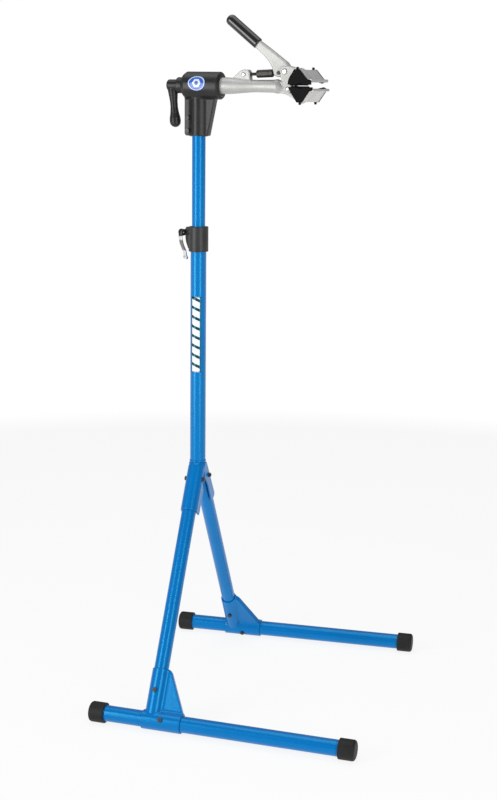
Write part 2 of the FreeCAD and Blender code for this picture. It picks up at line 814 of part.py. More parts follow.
def jaw_liner(way):
    """Rubber under the plate, with a wall at the back of the mouth and a flange over each end of the plate."""
    line = jaw_line(way)
    lip = line[0][1]
    outer = shifted(line, -jaw_plate / 2)
    inner = shifted(line, -jaw_plate / 2 - liner_thick)
    shape = slab(jaw_points(outer[:5] + inner[:5][::-1], way), -jaw_length / 2, jaw_length / 2)
    wall = [(line[0][0], wall_half_gap), (line[0][0], outer[0][1]), outer[0], inner[0], (inner[0][0], wall_half_gap)]
    shape = shape.fuse(slab(jaw_points(wall, way), -jaw_length / 2, jaw_length / 2))
    skin = shifted(line, jaw_plate / 2 + 0.8)
    notch_at = mouth_centre - ridge_reach(way)
    notch = [(notch_at + notch_half, mouth_half_gap), (notch_at, notch_top), (notch_at - notch_half, mouth_half_gap)]
    near_end = skin + [(skin[-1][0], mouth_half_gap)] + notch + [(skin[0][0] - 2, mouth_half_gap)]
    far_end = skin + [(inner[4][0], inner[4][1] - 3), (inner[0][0] + 8, lip), (skin[0][0], lip)]
    for outline, low in ((near_end, -jaw_length / 2 - liner_flange), (far_end, jaw_length / 2)):
        shape = shape.fuse(slab(jaw_points(outline, way), low, low + liner_flange))
    for across_at in (-peg_pitch / 2, peg_pitch / 2):
        start = Vector(ridge_reach(way), across_at, jaw_middle + way * (jaw_ridge - jaw_plate / 2 - 2))
        shape = shape.fuse(rod(start, upward * way, jaw_plate + 3, peg_rod / 2))
        head = turned([(0, 0), (0, peg_head - 0.6), (2, peg_head), (peg_rise - 2, peg_head), (peg_rise, peg_head - 1.6),
                       (peg_rise, 0)],
                      Vector(ridge_reach(way), across_at, jaw_middle + way * (jaw_ridge + jaw_plate / 2)), upward * way)
        shape = shape.fuse(head)
    return place(shape.removeSplitter(), head_place)


def pin(point, half_length, cap_radius):
    """Riveted pin across the clamp: a plain rod with a low head on each side."""
    shape = slab_at(point, -half_length, half_length, pin_rod / 2)
    for way in (-1, 1):
        start = Vector(point[0], way * half_length, point[1])
        head = turned([(0, 0), (0, cap_radius), (1.2, cap_radius - 0.6), (2, cap_radius - 2.4), (2, 0)],
                      start, sideways * way)
        shape = shape.fuse(head)
    return place(shape.removeSplitter(), head_place)


# ---- upper jaw ------------------------------------------------------------

cheek_low = tang_half + side_gap
cheek_high = cheek_low + cheek_thick


def upper_jaw_casting():
    ridge = jaw_points(shifted(jaw_line(1), jaw_plate / 2), 1)[2]
    outline = [(219, -10), (224, -15), (232, -15.5), (237, -11), (239, 8), (251, 16), (258, 22), ridge]
    outline += [(255, 42), (244, 42), (228, 46), (214, 45.5), (208.5, 40), (210, 26)]
    shape = None
    for low in (cheek_low, -cheek_high):
        cheek = slab(outline, low, low + cheek_thick)
        shape = cheek if shape is None else shape.fuse(cheek)
    bridge = slab([(240, 10), (251, 16), (258, 22), ridge, (255, 40), (246, 31), (241, 22)], -cheek_high, cheek_high)
    shape = shape.fuse(bridge).removeSplitter().cut(jaw_block(1))
    shape = shape.cut(slab_at(jaw_pivot, -30, 30, pin_rod / 2 + running))
    shape = shape.cut(slab_at(handle_pivot, -30, 30, pin_rod / 2 + fit))
    return place(shape, head_place)


# ---- handle ---------------------------------------------------------------

grip_way = Vector(-math.cos(math.radians(grip_rise)), 0, math.sin(math.radians(grip_rise)))
grip_base = Vector(grip_start[0], 0, grip_start[1])


def handle_casting():
    side = Vector(grip_way.z, 0, -grip_way.x)
    top = grip_base + side * neck_half
    low = grip_base - side * neck_half
    outline = [(191, 28), (194, 23), (204, 20.5), (216, 21.5), (228, 23), (233, 30), (233, 38), (228, 47), (223, 54)]
    outline += [(207, 68), (185, 85), (top.x, top.z), (low.x, low.z), (170, 66), (180, 54), (187, 42)]
    shape = slab(outline, -tang_half, tang_half)
    tang = rod(grip_base - grip_way * 2, grip_way, grip_length - 6, tang_radius)
    shape = shape.fuse(tang).removeSplitter()
    gap = slab([(180, 10), (219, 10), (219, 38), (208, 44), (180, 44)], -eye_half - side_gap, eye_half + side_gap)
    shape = shape.cut(gap)
    shape = shape.cut(slab_at(handle_pivot, -30, 30, pin_rod / 2 + running))
    shape = shape.cut(slab_at(toggle_pivot, -30, 30, pin_rod / 2 + fit))
    return place(shape, head_place)


def grip():
    start = grip_base + grip_way * touch_gap
    bore = tang_radius + fit
    profile = [(0, bore), (0, grip_radius - 1.5), (1.5, grip_radius), (grip_length - 9, grip_radius),
               (grip_length - 4, grip_radius - 2.2), (grip_length - 1, grip_radius - 6), (grip_length, 0),
               (grip_length - 6, 0), (grip_length - 6, bore)]
    return place(turned(profile, start, grip_way), head_place)


# ---- link -----------------------------------------------------------------

link_reach = toggle_pivot[0] - link_pivot[0]
link_climb = toggle_pivot[1] - link_pivot[1]
link_long = math.hypot(link_reach, link_climb)
link_way = Vector(link_reach / link_long, 0, link_climb / link_long)
link_start = Vector(link_pivot[0], 0, link_pivot[1])


def turn_about(point, centre, degrees):
    """Turn a (reach, height) point about a centre in the plane of the clamp, towards +height."""
    angle = math.radians(degrees)
    dx = point[0] - centre[0]
    dz = point[1] - centre[1]
    return (centre[0] + dx * math.cos(angle) - dz * math.sin(angle),
            centre[1] + dx * math.sin(angle) + dz * math.cos(angle))


def toggle_path():
    """Where the handle's toggle pin runs, seen from the link, over the clamp's travel."""
    steps = 12
    places = []
    for index in range(steps + 1):
        share = index / steps
        knee = turn_about(handle_pivot, jaw_pivot, jaw_swing * share)
        moved = (toggle_pivot[0] - handle_pivot[0] + knee[0], toggle_pivot[1] - handle_pivot[1] + knee[1])
        moved = turn_about(moved, knee, -handle_swing * share)
        places.append(turn_about(moved, link_pivot, -link_swing * share))
    return places


def link_rod_piece():
    shank_end = link_long - eye_radius + 2
    shank = rod(link_start, link_way, shank_end, link_rod / 2)
    near_eye = slab_at(link_pivot, -eye_half, eye_half, near_eye_radius)
    far_eye = slab_at(toggle_pivot, -eye_half, eye_half, eye_radius)
    shape = shank.fuse([near_eye, far_eye])
    shape = shape.cut(slab_at(link_pivot, -10, 10, pin_rod / 2 + running))
    for point in toggle_path():
        shape = shape.cut(slab_at(point, -10, 10, pin_rod / 2 + touch_gap))
    return place(shape.removeSplitter(), head_place)


def adjuster():
    start = link_start + link_way * (adjuster_start - link_pivot[0])
    length = adjuster_end - adjuster_start
    body = hex_prism(start, link_way, 2 * adjuster_radius * 0.93, length)
    limit = turned([(0, 0), (0, adjuster_radius - 2), (2, adjuster_radius), (length - 2, adjuster_radius),
                    (length, adjuster_radius - 2), (length, 0)], start, link_way)
    shape = body.common(limit)
    return place(shape.cut(rod(start - link_way, link_way, length + 2, link_rod / 2 + running)), head_place)


# ---- write the pieces -----------------------------------------------------

def write_base():
    save("lower_post", lower_post())
    save("leg_crown", leg_crown())
    save("fixed_leg_tube", fixed_leg_tube())
    save("fixed_leg_bolt", crown_bolt(-1))
    save("fixed_leg_nut", crown_nut(-1))
    save("pivot_bolt", crown_bolt(1))
    save("pivot_nut", crown_nut(1))
    save("folding_leg_tube", folding_leg_tube())
    save("pivot_bush", pivot_bush())


def write_foot(side, name):
    save(name + "_foot_bracket", foot_bracket(side))
    save(name + "_bracket_bolts", bracket_bolts(side))
    save(name + "_bracket_nuts", bracket_nuts(side))
    save(name + "_foot_tube", foot_tube(side))
    save(name + "_toe_cap", foot_cap(side, 1))
    save(name + "_heel_cap", foot_cap(side, -1))


def write_collar():
    save("collar", collar())
    save("skewer", skewer())
    save("skewer_nut", skewer_nut())
    save("cam_seat", cam_seat())
    save("cam_pin", cam_pin())
    save("cam_lever", cam_lever())
    save("guide_bush", guide_bush())


def write_mast():
    save("mast_glide", mast_glide())
    save("glide_clip", glide_clip())
    save("mast_plug", mast_plug())
    save("mast_tube", mast_tube())
    save("head_casting", head_casting())
    save("pinch_screws", pinch_screws())
    save("pinch_nuts", pinch_nuts())
    save("barrel_bush_front", barrel_bush(barrel_front - 4 - touch_gap - bush_length))
    save("barrel_bush_rear", barrel_bush(-barrel_back + barrel_end_wall + touch_gap))
    save("trim_ring", trim_ring())
    save("head_badge", badge())
    save("lock_boss", lock_boss())


def write_clamp():
    save("lock_stud", lock_stud())
    save("lock_knob", lock_knob())
    save("arm_casting", arm_casting())
    save("link_pin", pin(link_pivot, lug_half, 5.5))
    save("jaw_pin", pin(jaw_pivot, cheek_high, 5.5))
    save("handle_pin", pin(handle_pivot, cheek_high, 7.0))
    save("toggle_pin", slab_pin())
    save("lower_jaw_plate", jaw_plate_piece(-1))
    save("lower_liner", jaw_liner(-1))
    save("upper_jaw_plate", jaw_plate_piece(1))
    save("upper_liner", jaw_liner(1))
    save("upper_jaw_casting", upper_jaw_casting())
    save("handle_casting", handle_casting())
    save("grip", grip())
    save("link_rod", link_rod_piece())
    save("adjuster", adjuster())


def slab_pin():
    """Toggle pin, flush with the handle's cheeks."""
    return place(slab_at(toggle_pivot, -tang_half, tang_half, pin_rod / 2), head_place)


os.makedirs("parts", exist_ok=True)
write_base()
write_foot(-1, "fixed")
write_foot(1, "folding")
write_collar()
write_mast()
write_clamp()
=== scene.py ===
import math
import bpy
import numpy as np
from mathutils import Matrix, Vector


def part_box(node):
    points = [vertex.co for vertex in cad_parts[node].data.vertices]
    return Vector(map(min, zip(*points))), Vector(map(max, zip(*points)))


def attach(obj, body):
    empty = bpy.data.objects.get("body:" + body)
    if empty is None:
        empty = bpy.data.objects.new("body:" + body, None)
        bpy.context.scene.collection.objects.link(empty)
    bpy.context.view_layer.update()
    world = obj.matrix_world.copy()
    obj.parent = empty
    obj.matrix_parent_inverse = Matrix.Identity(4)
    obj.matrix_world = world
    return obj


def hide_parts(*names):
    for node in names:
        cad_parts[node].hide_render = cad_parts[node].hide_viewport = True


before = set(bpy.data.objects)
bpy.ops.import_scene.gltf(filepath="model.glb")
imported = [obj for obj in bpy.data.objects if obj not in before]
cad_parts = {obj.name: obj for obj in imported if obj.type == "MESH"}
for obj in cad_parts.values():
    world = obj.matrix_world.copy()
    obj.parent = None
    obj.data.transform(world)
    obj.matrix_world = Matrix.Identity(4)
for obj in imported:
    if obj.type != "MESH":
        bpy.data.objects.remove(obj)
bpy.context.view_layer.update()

import openvdb
from mathutils import Matrix, Vector

mm = 0.001
scene = bpy.context.scene

alongX, alongY, alongZ = (1, 0, 0), (0, 1, 0), (0, 0, 1)

# places shared by several pieces, in millimetres in the frame's own axes

mastLow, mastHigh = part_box("mast_tube")
bossLow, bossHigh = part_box("lock_boss")
postX = (mastLow.x + mastHigh.x) / 2 / mm
armHeight = (bossLow.z + bossHigh.z) / 2 / mm

stand = {"crownHeight": 572.0, "lean": 31.15, "toe": 2.1, "capOuter": 48.4, "legOuter": 34.9,
         "postOuter": 38.1, "footOuter": 38.1, "mastOuter": 31.8, "toeReach": 492.0, "heelReach": 157.5,
         "mastTurn": -6.0, "collarTurn": 135.0, "fit": 0.05, "gap": 0.3, "boltBore": 3.05}

lean = math.radians(stand["lean"])
toeAngle = math.radians(stand["toe"])
footAxis = stand["capOuter"] / 2
legLength = (stand["crownHeight"] - footAxis) / math.cos(lean)
crownPoint = Vector((postX, 0, stand["crownHeight"]))


def legDown(side):
    return Vector((0, side * math.sin(lean), -math.cos(lean)))


def footForward(side):
    return Vector((math.cos(toeAngle), side * math.sin(toeAngle), 0))


def footJoint(side):
    return crownPoint + legDown(side) * legLength


def axesAt(origin, xAxis, zAxis):  # a local frame whose z is exact and whose x is squared up to it
    z = Vector(zAxis).normalized()
    x = Vector(xAxis)
    x = (x - z * x.dot(z)).normalized()
    y = z.cross(x)
    return Matrix.Translation(origin) @ Matrix((x, y, z)).transposed().to_4x4()


headTurn = Matrix.Rotation(math.radians(stand["mastTurn"]), 4, "Z")
headPlace = Matrix.Translation((postX, 0, armHeight)) @ headTurn
collarPlace = Matrix.Translation((postX, 0, 0)) @ Matrix.Rotation(math.radians(stand["collarTurn"]), 4, "Z")

# shader groups


def addSocket(tree, name, kind, value=None, out=False):
    made = tree.interface.new_socket(name=name, in_out="OUTPUT" if out else "INPUT", socket_type=kind)
    if value is not None:
        made.default_value = value


def addNode(tree, kind, inputs=(), **settings):  # a node whose inputs are numbers or links, by name or place
    node = tree.nodes.new(kind)
    for key, value in settings.items():
        setattr(node, key, value)
    for key, value in dict(inputs).items():
        if isinstance(value, bpy.types.NodeSocket):
            tree.links.new(value, node.inputs[key])
        else:
            node.inputs[key].default_value = value
    return node


def mathNode(tree, operation, *values, clamp=False):
    return addNode(tree, "ShaderNodeMath", enumerate(values), operation=operation, use_clamp=clamp).outputs[0]


def times(tree, first, second, clamp=False):
    return mathNode(tree, "MULTIPLY", first, second, clamp=clamp)


def ramp(tree, value, edge, gain):  # 0 up to the edge, then rising by the gain to 1
    return times(tree, mathNode(tree, "SUBTRACT", value, edge), gain, clamp=True)


def stepOver(tree, value, edge, soft):  # 0 below the edge, 1 above it, over a soft width
    return ramp(tree, value, edge - soft / 2, 1 / soft)


def below(tree, value, edge, soft):
    return mathNode(tree, "SUBTRACT", 1.0, stepOver(tree, value, edge, soft))


def mixColour(tree, factor, first, second):
    node = addNode(tree, "ShaderNodeMix", data_type="RGBA")
    for key, value in (("Factor_Float", factor), ("A_Color", first), ("B_Color", second)):
        socket = next(s for s in node.inputs if s.identifier == key)
        if isinstance(value, (int, float, tuple)):
            socket.default_value = value
        else:
            tree.links.new(value, socket)
    return next(s for s in node.outputs if s.identifier == "Result_Color")


def noiseNode(tree, coordinates, scale, detail, rough=0.5):
    return addNode(tree, "ShaderNodeTexNoise", {"Vector": coordinates, "Scale": scale, "Detail": detail,
                                                "Roughness": rough}).outputs[0]


def nodeMaterial(name):
    made = bpy.data.materials.new(name)
    made.use_nodes = True
    return made


wearLook = {"edge": 0.02, "edgeGain": 14.0, "chipScale": 260.0, "chipEdge": 0.36, "chipGain": 4.0,
            "blotchEdge": 0.38, "blotchGain": 2.6, "roughening": 0.12, "bevelSamples": 6}
surfaceInputs = {"Colour": ("colour", (0.5, 0.5, 0.5)), "Shade": ("shade", (0.4, 0.4, 0.4)),
                 "Worn": ("worn", (0.6, 0.6, 0.6)), "Stretch": ("stretch", (1, 1, 1)),
                 "Grain Scale": ("grainScale", 900.0), "Blotch Scale": ("blotchScale", 14.0),
                 "Grain Amount": ("grainAmount", 0.2), "Edge Size": ("edgeSize", 0.0009),
                 "Edge Amount": ("edgeAmount", 0.4), "Roughness": ("roughness", 0.4),
                 "Roughness Spread": ("roughnessSpread", 0.12)}
shaderInputs = {"Metallic": ("metallic", 0.0), "Coat Weight": ("coat", 0.0),
                "Coat Roughness": ("coatRoughness", 0.1), "Specular IOR Level": ("specular", 0.5),
                "Specular Tint": ("sheenTint", (1, 1, 1))}
bumpInputs = {"Strength": ("bumpStrength", 0.3), "Distance": ("bumpDepth", 0.00005)}
colourSockets = ("Colour", "Shade", "Worn", "Specular Tint")


def buildSurfaceGroup():
    tree = bpy.data.node_groups.new("handledSurface", "ShaderNodeTree")
    for name, (key, value) in surfaceInputs.items():
        kind = "Color" if name in colourSockets else "Vector" if name == "Stretch" else "Float"
        addSocket(tree, name, "NodeSocket" + kind, (*value, 1) if kind == "Color" else value)
    for name, kind in (("Colour", "Color"), ("Roughness", "Float"), ("Wear", "Float"), ("Height", "Float"),
                       ("Soft Normal", "Vector")):
        addSocket(tree, name, "NodeSocket" + kind, out=True)
    w = wearLook
    given = addNode(tree, "NodeGroupInput").outputs
    where = addNode(tree, "ShaderNodeTexCoord").outputs["Object"]
    stretched = addNode(tree, "ShaderNodeVectorMath", {0: where, 1: given["Stretch"]}, operation="MULTIPLY")
    grain = noiseNode(tree, stretched.outputs[0], given["Grain Scale"], 3.0, 0.6)
    blotch = noiseNode(tree, where, given["Blotch Scale"], 3.0, 0.55)
    chips = noiseNode(tree, where, w["chipScale"], 2.0, 0.6)
    bevel = addNode(tree, "ShaderNodeBevel", {"Radius": given["Edge Size"]},
                    samples=w["bevelSamples"]).outputs[0]
    normal = addNode(tree, "ShaderNodeNewGeometry").outputs["Normal"]
    facing = addNode(tree, "ShaderNodeVectorMath", {0: bevel, 1: normal}, operation="DOT_PRODUCT")
    bent = mathNode(tree, "SUBTRACT", 1.0, facing.outputs["Value"])
    chipped = times(tree, ramp(tree, bent, w["edge"], w["edgeGain"]),
                    ramp(tree, chips, w["chipEdge"], w["chipGain"]))
    wear = times(tree, chipped, given["Edge Amount"], clamp=True)
    fine = times(tree, mathNode(tree, "SUBTRACT", grain, 0.5), given["Grain Amount"])
    shade = mathNode(tree, "ADD", ramp(tree, blotch, w["blotchEdge"], w["blotchGain"]), fine, clamp=True)
    tinted = mixColour(tree, shade, given["Colour"], given["Shade"])
    spread = mathNode(tree, "SUBTRACT", mathNode(tree, "ADD", grain, blotch), 1.0)
    rough = mathNode(tree, "MULTIPLY_ADD", spread, given["Roughness Spread"], given["Roughness"])
    rough = mathNode(tree, "ADD", rough, times(tree, wear, w["roughening"]), clamp=True)
    worn = mixColour(tree, wear, tinted, given["Worn"])
    addNode(tree, "NodeGroupOutput", {"Colour": worn, "Roughness": rough, "Wear": wear, "Height": grain,
                                      "Soft Normal": bevel})
    return tree


surfaceGroup = buildSurfaceGroup()


def surfaceMaterial(name, values):
    made = nodeMaterial(name)
    tree = made.node_tree
    shader = tree.nodes["Principled BSDF"]
    work = addNode(tree, "ShaderNodeGroup", node_tree=surfaceGroup)
    bump = addNode(tree, "ShaderNodeBump", {"Height": work.outputs["Height"],
                                            "Normal": work.outputs["Soft Normal"]})
    for node, table in ((work, surfaceInputs), (shader, shaderInputs), (bump, bumpInputs)):
        for socket, (key, usual) in table.items():
            value = values.get(key, usual)
            node.inputs[socket].default_value = (*value, 1) if socket in colourSockets else value
    tree.links.new(work.outputs["Colour"], shader.inputs["Base Color"])
    tree.links.new(work.outputs["Roughness"], shader.inputs["Roughness"])
    tree.links.new(bump.outputs[0], shader.inputs["Normal"])
    return made


def openedMaterial(name, lookName):  # a surface material, with the nodes that a pattern joins on to
    made = surfaceMaterial(name, looks[lookName])
    tree = made.node_tree
    return made, tree, tree.nodes["Principled BSDF"], next(n for n in tree.nodes if n.type == "GROUP").outputs


def grey(level):
    return (level, level, level)


def look(colour, shade, worn, grainScale, grainAmount, blotchScale, edgeAmount, roughness, roughnessSpread,
         **rest):
    return dict(rest, colour=colour, shade=shade, worn=worn, grainScale=grainScale, grainAmount=grainAmount,
                blotchScale=blotchScale, edgeAmount=edgeAmount, roughness=roughness,
                roughnessSpread=roughnessSpread)


looks = {
    "blue_paint": look((0.0, 0.135, 0.43), (0.0, 0.12, 0.39), (0.01, 0.21, 0.52), 520.0, 0.12, 9.0, 0.45,
        0.25, 0.05, bumpStrength=0.03, bumpDepth=0.00006, coat=0.04, coatRoughness=0.12, specular=0.9,
        sheenTint=(0.1, 0.72, 1.0)),
    "black_rubber": look(grey(0.01), (0.017, 0.017, 0.016), (0.06, 0.06, 0.058), 1500.0, 0.2, 30.0, 0.5,
        0.55, 0.16, bumpStrength=0.1, bumpDepth=0.00006, specular=0.22),
    "liner_rubber": look(grey(0.003), grey(0.006), grey(0.03), 1500.0, 0.2, 30.0, 0.3, 0.5, 0.12,
        bumpStrength=0.1, bumpDepth=0.00006, specular=0.07),
    "grip_rubber": look(grey(0.004), grey(0.007), grey(0.03), 1700.0, 0.12, 40.0, 0.3, 0.16, 0.05,
        bumpStrength=0.02, bumpDepth=0.00005, specular=0.5, coat=0.3, coatRoughness=0.08),
    "black_casting": look((0.008, 0.008, 0.0085), (0.014, 0.014, 0.0145), grey(0.07), 1400.0, 0.2, 26.0,
        0.35, 0.36, 0.12, bumpStrength=0.08, bumpDepth=0.00006, coat=0.05, coatRoughness=0.3,
        specular=0.32),
    "black_plastic": look(grey(0.008), grey(0.014), grey(0.07), 1100.0, 0.2, 30.0, 0.3, 0.34, 0.1,
        bumpStrength=0.05, bumpDepth=0.00004, specular=0.3),
    "silver_casting": look((0.42, 0.42, 0.405), (0.36, 0.36, 0.345), (0.78, 0.78, 0.76), 1300.0, 0.12, 30.0,
        0.12, 0.42, 0.06, bumpStrength=0.03, bumpDepth=0.00004, metallic=0.35),
    "jaw_plate_metal": look((0.52, 0.51, 0.5), (0.43, 0.42, 0.415), grey(0.85), 1600.0, 0.9, 45.0, 0.7,
        0.33, 0.16, stretch=(1.0, 0.06, 1.0), bumpStrength=0.35, bumpDepth=0.00005, metallic=0.45),
    "dark_steel": look((0.03, 0.028, 0.026), (0.07, 0.065, 0.06), (0.32, 0.31, 0.3), 1600.0, 0.6, 120.0,
        0.8, 0.36, 0.14, edgeSize=0.0005, metallic=0.75),
    "bright_steel": look((0.52, 0.52, 0.51), grey(0.42), grey(0.75), 1500.0, 0.6, 90.0, 0.6, 0.24, 0.1,
        edgeSize=0.0005, metallic=1.0),
    "lever_metal": look((0.74, 0.74, 0.75), (0.64, 0.64, 0.65), grey(0.95), 1200.0, 0.5, 60.0, 0.6, 0.26,
        0.1, metallic=0.6),
    "collar_casting": look(grey(0.018), (0.032, 0.032, 0.031), grey(0.14), 1300.0, 0.2, 30.0, 0.35, 0.4,
        0.1, bumpStrength=0.06, bumpDepth=0.00006, specular=0.35),
    "nylon": look(grey(0.04), (0.06, 0.06, 0.058), grey(0.14), 1300.0, 0.4, 40.0, 0.3, 0.5, 0.1),
    "badge_print": look((0.01, 0.1, 0.46), (0.01, 0.085, 0.4), (0.3, 0.45, 0.8), 1200.0, 0.3, 40.0, 0.4,
        0.28, 0.06, coat=0.4, coatRoughness=0.1),
}
mixedLooks = ("lever_metal", "collar_casting", "badge_print")  # each is made with its own pattern further on
materials = {name: surfaceMaterial(name, looks[name]) for name in looks if name not in mixedLooks}
print("materials made:", len(materials))


def boreFor(outer):  # the radius of a hole that fits a tube
    return stand[outer] / 2 + stand["fit"]


# modelling with distance fields: negative inside, millimetres in a piece's own frame


def latticeAround(low, high, step):
    spans = [np.arange(a - 3 * step, b + 3 * step, step, dtype=np.float32) for a, b in zip(low, high)]
    return {"x": spans[0][:, None, None], "y": spans[1][None, :, None], "z": spans[2][None, None, :],
            "corner": [float(s[0]) for s in spans], "step": step}


def polygonField(u, v, corners):
    shape = np.broadcast(u, v).shape
    nearest = np.full(shape, 1e9, np.float32)
    inside = np.zeros(shape, bool)
    for index, (au, av) in enumerate(corners):
        bu, bv = corners[index - 1]
        eu, ev = bu - au, bv - av
        if abs(eu) + abs(ev) < 1e-9:
            continue
        share = np.clip(((u - au) * eu + (v - av) * ev) / (eu * eu + ev * ev), 0, 1)
        nearest = np.minimum(nearest, (u - au - eu * share) ** 2 + (v - av - ev * share) ** 2)
        if bv != av:
            inside ^= ((av > v) != (bv > v)) & (u < (bu - au) * (v - av) / (bv - av) + au)
    far = np.sqrt(nearest)
    return np.where(inside, -far, far)


def cornerField(first, second, edge):  # two limits meeting at a corner rounded by edge
    a, b = first + edge, second + edge
    outside = np.sqrt(np.maximum(a, 0) ** 2 + np.maximum(b, 0) ** 2)
    return np.minimum(np.maximum(a, b), 0) + outside - edge


def alongField(grid, start, direction):
    d = Vector(direction).normalized()
    x, y, z = grid["x"] - start[0], grid["y"] - start[1], grid["z"] - start[2]
    along = x * d.x + y * d.y + z * d.z
    return along, np.sqrt(np.maximum(x * x + y * y + z * z - along * along, 0))


def rodField(grid, start, direction, length, radius, edge=0.0):
    along, radial = alongField(grid, start, direction)
    return cornerField(np.abs(along - length / 2) - length / 2, radial - radius, edge)


def bored(grid, shape, start, direction, length, radius, blend=0.0):
    return cutAway(shape, rodField(grid, start, direction, length, radius), blend)


def turnedField(grid, profile, start, direction, edge=0.0):
    along, radial = alongField(grid, start, direction)
    mirrored = [(d, -r) for d, r in reversed(profile)]
    return polygonField(along, radial, inset(profile + mirrored, edge)) - edge


def inset(corners, distance):  # a closed outline pulled in by a distance, with mitred corners
    if distance == 0:
        return corners
    area = sum(a[0] * b[1] - b[0] * a[1] for a, b in zip(corners, corners[1:] + corners[:1]))
    way = 1 if area > 0 else -1
    kept = [c for i, c in enumerate(corners) if math.dist(c, corners[i - 1]) > 1e-6]
    moved = []
    for index, point in enumerate(kept):
        before, after = kept[index - 1], kept[(index + 1) % len(kept)]
        normals = []
        for a, b in ((before, point), (point, after)):
            size = math.dist(a, b)
            normals.append((-(b[1] - a[1]) / size * way, (b[0] - a[0]) / size * way))
        total = (normals[0][0] + normals[1][0], normals[0][1] + normals[1][1])
        scale = 2 / max(total[0] ** 2 + total[1] ** 2, 0.5)
        moved.append((point[0] + total[0] * scale * distance, point[1] + total[1] * scale * distance))
    return moved


def slabField(grid, corners, low, high, edge=0.0):  # outline in x and z, thickness along y
    flat = polygonField(grid["x"], grid["z"], inset(list(corners), edge)) - edge
    return cornerField(flat, np.abs(grid["y"] - (low + high) / 2) - (high - low) / 2, edge)


def blockField(grid, low, high, edge=0.0):
    total, inner = 0, -1e9
    for axis, a, b in zip("xyz", low, high):
        d = np.abs(grid[axis] - (a + b) / 2) - (b - a) / 2 + edge
        total = total + np.maximum(d, 0) ** 2
        inner = np.maximum(inner, d)
    return np.minimum(inner, 0) + np.sqrt(total) - edge


def joined(first, second, blend=0.0):
    if blend == 0:
        return np.minimum(first, second)
    h = np.clip(0.5 + 0.5 * (second - first) / blend, 0, 1)
    return second + (first - second) * h - blend * h * (1 - h)


def cutAway(first, second, blend=0.0):
    return -joined(-first, second, blend)


def addObject(name, data):
    made = bpy.data.objects.new(name, data)
    scene.collection.objects.link(made)
    return made


def skinOf(name, field, grid, place, slotName, body, nodes, material=None):
    volume = openvdb.FloatGrid(10.0)
    volume.copyFromArray(np.ascontiguousarray(field, dtype=np.float32))
    points, triangles, quads = volume.convertToPolygons(0.0, 0.0)
    points = points * grid["step"] + np.array(grid["corner"])
    turn = np.array(place.to_3x3())
    points = (points @ turn.T + np.array(place.translation)) * mm
    a, b, c, d = (points[quads[:, k]] for k in range(4))
    size = np.einsum("ij,ij->i", np.cross(c - a, d - b), a).sum()
    if size < 0:
        quads = quads[:, ::-1]
    mesh = bpy.data.meshes.new(name)
    faces = quads.tolist() + triangles.tolist()
    mesh.from_pydata(points.tolist(), [], faces)
    mesh.polygons.foreach_set("use_smooth", [True] * len(mesh.polygons))
    mesh.update()
    piece = addObject(name, mesh)
    mesh.materials.append(material or materials[slotName])
    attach(piece, body)
    if nodes:
        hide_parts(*nodes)
    print("  ", name, len(faces), "faces")
    return piece


# head, boss and socket

head = {"radius": 32.0, "front": 58.0, "back": 39.0, "bore": 22.5, "endWall": 7.0, "depth": 116.5,
        "socketWall": 3.6, "stop": 30.0, "flangeReach": 34.0, "flangeThick": 17.0, "webTop": 45.5,
        "webBottom": 26.5, "webThick": 20.0, "slit": 2.5, "pinchReach": 25.5, "pinchDrop": 74.5,
        "pinchPitch": 30.5, "pinchBore": 3.1, "ringOuter": 27.0, "bossRadius": 18.8, "bossLength": 15.5,
        "studRod": 10.0,
        "saddle": 4.0, "webBlend": 7.0, "step": 0.95}


def buildHead():
    h = head
    grid = latticeAround((-h["back"] - h["bossLength"], -h["radius"], -h["depth"]),
                         (h["front"], h["radius"], h["radius"]), h["step"])
    length = h["back"] + h["front"]
    socketRadius = stand["mastOuter"] / 2 + h["socketWall"]
    barrel = turnedField(grid, [(0, 0), (0, h["radius"] - 12), (3.5, h["radius"] - 5), (11, h["radius"]),
                                (length - 2, h["radius"]),
                                (length, h["radius"] - 1.5), (length, 0)], (-h["back"], 0, 0), alongX, 1.2)
    socket = rodField(grid, (0, 0, -h["depth"]), alongZ, h["depth"], socketRadius, 1.2)
    reach, bottom = -h["flangeReach"], -h["depth"]
    flange = slabField(grid, [(reach, bottom + 4), (reach + 4, bottom), (0, bottom), (0, 0), (reach, 0)],
                       -h["flangeThick"] / 2, h["flangeThick"] / 2, 1.8)
    web = slabField(grid, [(0, bottom), (h["webBottom"], bottom), (h["webTop"], -h["radius"] * 0.8),
                           (h["webTop"], 0), (0, 0)], -h["webThick"] / 2, h["webThick"] / 2, 1.8)
    boss = rodField(grid, (-h["back"] - h["bossLength"], 0, 0), alongX, h["bossLength"] + 4,
                    h["bossRadius"], 1.8)
    shape = joined(joined(socket, flange, h["webBlend"]), web, h["webBlend"])
    shape = joined(joined(barrel, shape, h["saddle"]), boss, 1.5)
    shape = bored(grid, shape, (-h["back"] + h["endWall"], 0, 0), alongX, length, h["bore"])
    shape = bored(grid, shape, (h["front"] - 4, 0, 0), alongX, 10, h["ringOuter"] + 0.2, 0.6)
    shape = bored(grid, shape, (-80, 0, 0), alongX, 60, h["studRod"] / 2 + 1.5)
    shape = bored(grid, shape, (0, 0, bottom - 5), alongZ, h["depth"] - h["stop"] + 5,
                                    boreFor("mastOuter"), 0.5)
    shape = cutAway(shape, blockField(grid, (reach - 5, -h["slit"] / 2, bottom - 5),
                                      (0, h["slit"] / 2, -h["stop"] - 5)))
    for drop in (h["pinchDrop"], h["pinchDrop"] + h["pinchPitch"]):
        shape = bored(grid, shape, (-h["pinchReach"], -30, -drop), alongY, 60, h["pinchBore"])
    return skinOf("head_shell", shape, grid, headPlace, "black_casting", "mast",
                  ("head_casting", "lock_boss"))


buildHead()
print("head built")

# lock knob with its drop lever

lock = {"front": 54.8, "radius": 13.6, "length": 26.0, "leverLength": 85.0, "tilt": 5.0, "studBore": 5.1,
        "step": 0.6}


